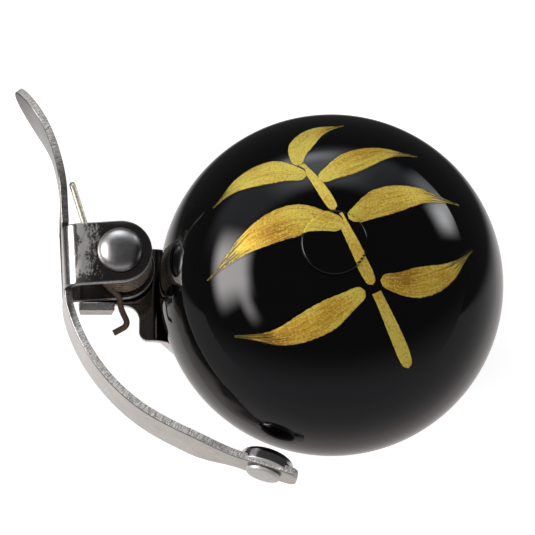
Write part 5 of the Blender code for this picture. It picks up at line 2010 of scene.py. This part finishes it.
@dataclass
class Pivot:
    """The rivet that the lever turns on, with its bush, washer and return spring."""

    place: Vector
    ear_span: float
    ear_depth: float
    sheet: float
    pin_radius: float = 0.0020
    head_radius: float = 0.00365
    head_height: float = 0.0022
    tail_radius: float = 0.0032
    tail_height: float = 0.0014
    washer_radius: float = 0.0045
    bush_radius: float = 0.00295
    bush_half: float = 0.0046
    bush_bevel: float = 0.0001
    washer_bevel: float = 0.00015
    head_lip: float = 0.00008
    head_round: float = 0.0001
    tail_round: float = 0.0003
    rivet_steps: int = 96
    ring_steps: int = 72
    wire: float = 0.0005
    coil_radius: float = 0.0041
    pitch: float = 0.00146
    turns: int = 5
    coil_start: float = math.radians(197.6)
    coil_end: float = math.radians(225.0)
    leg_bend: float = 0.0011
    hook: float = 0.0026
    leg_rest: Triple = (0.0002, 0.0, -0.00065)
    knee: Triple = (0.0013, -0.0028, 0.0)
    foot: Triple = (-0.0024, -0.00134, 0.0)
    bend_from: float = -0.7
    bend_to: float = 0.18
    per_turn: int = 44
    around: int = 14

    def rivet(self) -> None:
        """Builds the rivet with its polished domed head."""
        head, low = self.ear_span + SEAT, -self.ear_depth - self.sheet - SEAT
        profile = crown(self.head_radius, head, self.head_height)
        profile += soften([profile.pop(), (self.head_radius - self.head_lip, head), (self.pin_radius, head)],
                          self.head_round)
        profile += [(self.pin_radius, low)]
        profile += soften([(self.pin_radius, low), (self.tail_radius, low),
                           (self.tail_radius, low - self.tail_height / 2.0),
                           (self.tail_radius / 2.0, low - self.tail_height), (0.0, low - self.tail_height)],
                          self.tail_round)[1:]
        mesh = turned_mesh(profile, self.rivet_steps, place=Matrix.Translation(self.place))
        Shop.finish("pivot_rivet_polished", mesh, (Rack.RIVET,),
                    Seat(Body.FRAME, ("pivot_rivet",), "polished_steel"))

    def rings(self) -> None:
        """Builds the bush inside the spring and the washer under the lower ear."""
        bore = self.pin_radius + RUN
        half = self.bush_half - SEAT
        rings = (("pivot_bush", ring_profile(self.bush_radius, bore, half, -half, self.bush_bevel)),
                 ("pivot_washer", ring_profile(self.washer_radius, bore, -self.ear_span - SEAT,
                                               -self.ear_depth + SEAT, self.washer_bevel)))
        for name, profile in rings:
            mesh = turned_mesh(profile, self.ring_steps, True, Matrix.Translation(self.place))
            Shop.finish(name + "_turned", mesh, (Rack.BRASS,), Seat(Body.FRAME, (name,), "brass"))

    def round_off(self, corners: list[Vector]) -> list[Vector]:
        """Rounds the corners of the wire's route."""
        return [Vector(point) for point in soften(corners, self.leg_bend, 10, 0.0)]

    def coil(self) -> list[Vector]:
        """Winds the coil from its upper end to its lower one.

        Returns:
            Its points about the pivot.
        """
        sweep = self.turns * 2.0 * math.pi + self.coil_end - self.coil_start
        drop = self.pitch * sweep / (2.0 * math.pi)
        count = round(self.per_turn * sweep / (2.0 * math.pi))
        points = []
        for i in range(count + 1):
            angle = self.coil_start + sweep * i / count
            points.append(Vector((self.coil_radius * math.cos(angle), self.coil_radius * math.sin(angle),
                                  drop * (0.5 - i / count))))
        return points

    def wire_route(self, lever: Lever, bracket: Bracket) -> list[Vector]:
        """Gives the whole wire's route.

        Args:
            lever: The lever that the upper leg leans on.
            bracket: The bracket whose stop tab holds the lower leg.

        Returns:
            The route's points about the pivot, from the hooked leg to the foot.
        """
        coil = self.coil()
        first, last = coil[0], coil[-1]
        upward = Vector((math.sin(self.coil_start), -math.cos(self.coil_start), 0.0))
        facing = Vector((math.cos(lever.tilt), math.sin(lever.tilt), 0.0))
        side = lever.offset - lever.thickness / 2.0 - SEAT - self.wire
        tip = first + upward * ((side + first.dot(facing)) / -upward.dot(facing))
        upper = self.round_off([tip - Vector((0.0, 0.0, self.hook)), tip, first])
        onward = Vector((-math.sin(self.coil_end), math.cos(self.coil_end), 0.0))
        rest_x = bracket.ear_left + bracket.tab_inset + bracket.tab_length - self.place.x + SEAT + self.wire
        crossing = Vector((rest_x, -lever.ear_radius, last.z - self.wire / 3.0))
        beside = Vector((rest_x, -bracket.tab_face - self.place.y + self.wire, last.z))
        beside += Vector(self.leg_rest)
        knee = beside + Vector(self.knee)
        leave = last + onward * self.wire * 3.0
        lower = self.round_off([last, leave, crossing, beside, knee, knee + Vector(self.foot)])
        return upper[:-1] + coil + lower[1:]

    def spring(self, lever: Lever, bracket: Bracket) -> None:
        """Builds the return spring as one tube, seated on neither body.

        Args:
            lever: The lever that its upper leg leans on.
            bracket: The bracket whose tab holds its lower leg.
        """
        route = self.wire_route(lever, bracket)
        shape = bmesh.new()
        rings, normal = [], Vector((0.0, 0.0, 1.0))
        for i, here in enumerate(route):
            tangent = (route[min(i + 1, len(route) - 1)] - route[max(0, i - 1)]).normalized()
            normal = (normal - tangent * normal.dot(tangent)).normalized()
            if i == 0:
                normal = tangent.orthogonal().normalized()
            other = tangent.cross(normal)
            rings.append([shape.verts.new(self.place + here + self.wire * (
                normal * math.cos(2.0 * math.pi * k / self.around)
                + other * math.sin(2.0 * math.pi * k / self.around))) for k in range(self.around)])
        for first, second in zip(rings, rings[1:]):
            for k in range(self.around):
                j = (k + 1) % self.around
                shape.faces.new((first[k], first[j], second[j], second[k]))
        shape.faces.new(rings[0][::-1])
        shape.faces.new(rings[-1])
        bmesh.ops.recalc_face_normals(shape, faces=shape.faces)
        seat = Seat(Body.FRAME, ("return_spring",), "bronze_wire")
        piece = Shop.finish("return_spring_wound", settle(shape, "wire"), (Rack.BRONZE,), seat, ride=False)
        low = self.place + Vector((0.0, 0.0, self.bush_half * self.bend_from))
        high = self.place + Vector((0.0, 0.0, self.bush_half * self.bend_to))
        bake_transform(piece)

    def build(self, lever: Lever, bracket: Bracket) -> None:
        """Builds the pivot's own pieces and the spring."""
        self.rivet()
        self.rings()
        self.spring(lever, bracket)


def heading_of(azimuth: float, elevation: float) -> Vector:
    """Gives the direction at an azimuth and an elevation in degrees."""
    side, up = math.radians(azimuth), math.radians(elevation)
    return Vector((math.cos(side) * math.cos(up), math.sin(side) * math.cos(up), math.sin(up)))


@dataclass(frozen=True)
class Glow:
    """A soft bright patch of the room's walls, such as a softbox or a window."""

    azimuth: float
    elevation: float
    half_width: float
    half_height: float
    soft: Flat
    radiance: float
    colour: Colour

    def share(self, bench: NodeBench, heading: Socket) -> Socket:
        """Gives the patch's share of a direction, 1 in its middle and 0 outside it.

        Args:
            bench: The room's nodes.
            heading: The direction that is looked in.

        Returns:
            The share.
        """
        turned = bench.add("ShaderNodeMapping")
        bench.feed(turned.inputs["Vector"], heading)
        turned.inputs["Rotation"].default_value = (0.0, 0.0, -math.radians(self.azimuth))
        axes = bench.axes(turned.outputs["Vector"])
        side = bench.sum("ABSOLUTE", bench.sum("ARCTAN2", axes["Y"], axes["X"]))
        rise = bench.sum("SUBTRACT", bench.sum("ARCSINE", axes["Z"]), math.radians(self.elevation))
        limits = ((side, self.half_width, self.soft[0]),
                  (bench.sum("ABSOLUTE", rise), self.half_height, self.soft[1]))
        return bench.product(*[
            bench.span(value, math.radians(half + soft), math.radians(max(0.0, half - soft)), smooth=True)
            for value, half, soft in limits])


@dataclass(frozen=True)
class Room:
    """The dim room: dark overhead, a grey glow in front, softboxes at both sides and a strip behind."""

    dark: Colour = (0.048, 0.048, 0.050)
    front: Colour = (0.285, 0.285, 0.305)
    front_axis: Triple = (0.056, -0.640, -0.766)
    front_edge: Flat = (-0.02, 0.55)
    glows: tuple[Glow, ...] = (
        Glow(105.0, 20.0, 52.0, 16.0, (14.0, 6.0), 0.36, (0.90, 0.94, 1.0)),
        Glow(97.0, 21.0, 19.0, 13.0, (13.0, 6.0), 1.35, (0.90, 0.94, 1.0)),
        Glow(103.0, 11.5, 13.0, 2.5, (9.0, 4.0), 2.6, (0.97, 0.985, 1.0)),
        Glow(46.0, 4.0, 8.0, 7.0, (6.0, 7.0), 1.7, (0.90, 0.94, 1.0)),
        Glow(38.0, -2.0, 5.0, 4.0, (5.0, 7.0), 3.4, (0.95, 0.97, 1.0)),
        Glow(33.5, 7.0, 6.5, 5.0, (5.5, 7.5), 5.8, (0.98, 0.985, 1.0)),
        Glow(190.0, 33.2, 17.0, 2.4, (9.0, 4.2), 3.4, (1.0, 0.95, 0.96)),
        Glow(173.0, 25.6, 16.5, 12.1, (9.5, 5.5), 7.2, (1.0, 0.95, 0.955)),
    )

    def build(self) -> bpy.types.World:
        """Builds the world."""
        world = bpy.data.worlds.new("room")
        world.use_nodes = True
        bench = NodeBench(world.node_tree)
        heading = bench.add("ShaderNodeTexCoord").outputs["Generated"]
        facing = bench.add("ShaderNodeVectorMath", operation="DOT_PRODUCT")
        bench.feed(facing.inputs[0], heading)
        facing.inputs[1].default_value = self.front_axis
        share = bench.span(facing.outputs["Value"], *self.front_edge, smooth=True)
        colour = bench.blend(share, self.dark, self.front)
        for glow in self.glows:
            bright = tuple(glow.radiance * value for value in glow.colour)
            colour = bench.blend(glow.share(bench, heading), colour, bright)
        seen = bench.add("ShaderNodeLightPath").outputs["Is Camera Ray"]
        colour = bench.blend(seen, colour, WHITE)
        bench.feed(world.node_tree.nodes["Background"].inputs["Color"], colour)
        return world


@dataclass
class Studio:
    """The floor, the lamps, the world and the camera."""

    floor_height: float
    centre: float
    floor_radius: float = 1.4
    tilt: float = math.radians(15.5)
    shift_right: float = -0.010169
    shift_up: float = 0.002747
    distance: float = 0.480
    lens: float = 202.05
    sensor: float = 36.0
    clip: Flat = (0.01, 10.0)
    lamp_heading: Flat = (-80.0, 74.0)
    lamp_distance: float = 0.9
    lamp_side: float = 1.0
    lamp_radiance: float = 1.9

    def floor(self) -> None:
        """Lays the floor."""
        shape = bmesh.new()
        bmesh.ops.create_circle(shape, cap_ends=True, segments=96, radius=self.floor_radius)
        mesh = settle(shape, "studio_floor")
        mesh.materials.append(StudioFloor().build())
        floor = bpy.data.objects.new("studio_floor", mesh)
        floor.location = (0.0, 0.0, self.floor_height)
        bpy.context.scene.collection.objects.link(floor)
        floor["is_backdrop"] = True

    def lamp(self) -> None:
        """Hangs a wide soft lamp over the bell, too diffuse to be mirrored in the lacquer."""
        data = bpy.data.lights.new("fill_overhead", "AREA")
        data.shape = "RECTANGLE"
        data.size, data.size_y = self.lamp_side, self.lamp_side
        data.energy = self.lamp_radiance * math.pi * self.lamp_side * self.lamp_side
        lamp = bpy.data.objects.new("fill_overhead", data)
        bpy.context.scene.collection.objects.link(lamp)
        away = heading_of(*self.lamp_heading)
        lamp.location = Vector((0.0, 0.0, self.centre)) + away * self.lamp_distance
        lamp.rotation_euler = away.to_track_quat("Z", "Y").to_euler()
        lamp.visible_camera = False
        lamp.visible_glossy = False

    def camera(self) -> None:
        """Sets the camera at the photograph's angle."""
        right = Vector((1.0, 0.0, 0.0))
        up = Vector((0.0, math.cos(self.tilt), math.sin(self.tilt)))
        back = Vector((0.0, -math.sin(self.tilt), math.cos(self.tilt)))
        data = bpy.data.cameras.new("camera")
        data.lens = self.lens
        data.sensor_width = self.sensor
        data.clip_start, data.clip_end = self.clip
        camera = bpy.data.objects.new("camera", data)
        spot = Vector((0.0, 0.0, self.centre)) + right * self.shift_right + up * self.shift_up
        turn = Matrix((right, up, back)).transposed().to_4x4()
        camera.matrix_world = Matrix.Translation(spot + back * self.distance) @ turn
        bpy.context.scene.collection.objects.link(camera)
        bpy.context.scene.camera = camera

    def build(self) -> None:
        """Sets up the studio."""
        self.floor()
        bpy.context.scene.world = Room().build()
        self.lamp()
        self.camera()
        bpy.context.scene.view_settings.view_transform = "Standard"


def plain(box: tuple) -> list[list[float]]:
    """Turns a box's corners into plain numbers."""
    return [[float(value) for value in corner] for corner in box]


def main() -> None:
    """Builds the bell's pieces in order."""
    logging.basicConfig(level=logging.INFO, format="%(message)s")
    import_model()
    model_box = plain(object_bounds())
    clamp = Clamp()
    base_top = clamp.top + SEAT + Bracket.thickness
    bell = Bell(base_top, clamp.inner - SEAT)
    pivot_place = Vector((-0.03344, 0.00406, bell.centre))
    bracket = Bracket(base_top, bell.centre, pivot_place)
    lever = Lever(pivot_place)
    ear_span = lever.fold_half + lever.fold_radius + lever.thickness
    pivot = Pivot(pivot_place, ear_span, bracket.ear_depth, bracket.thickness)
    clamp.build()
    bell.build()
    BrushSpray(bell, spray_strokes()).build()
    bracket.build()
    lever.build()
    pivot.build(lever, bracket)
    Studio(model_box[0][2], bell.centre).build()


if __name__ == "__main__":
    main()
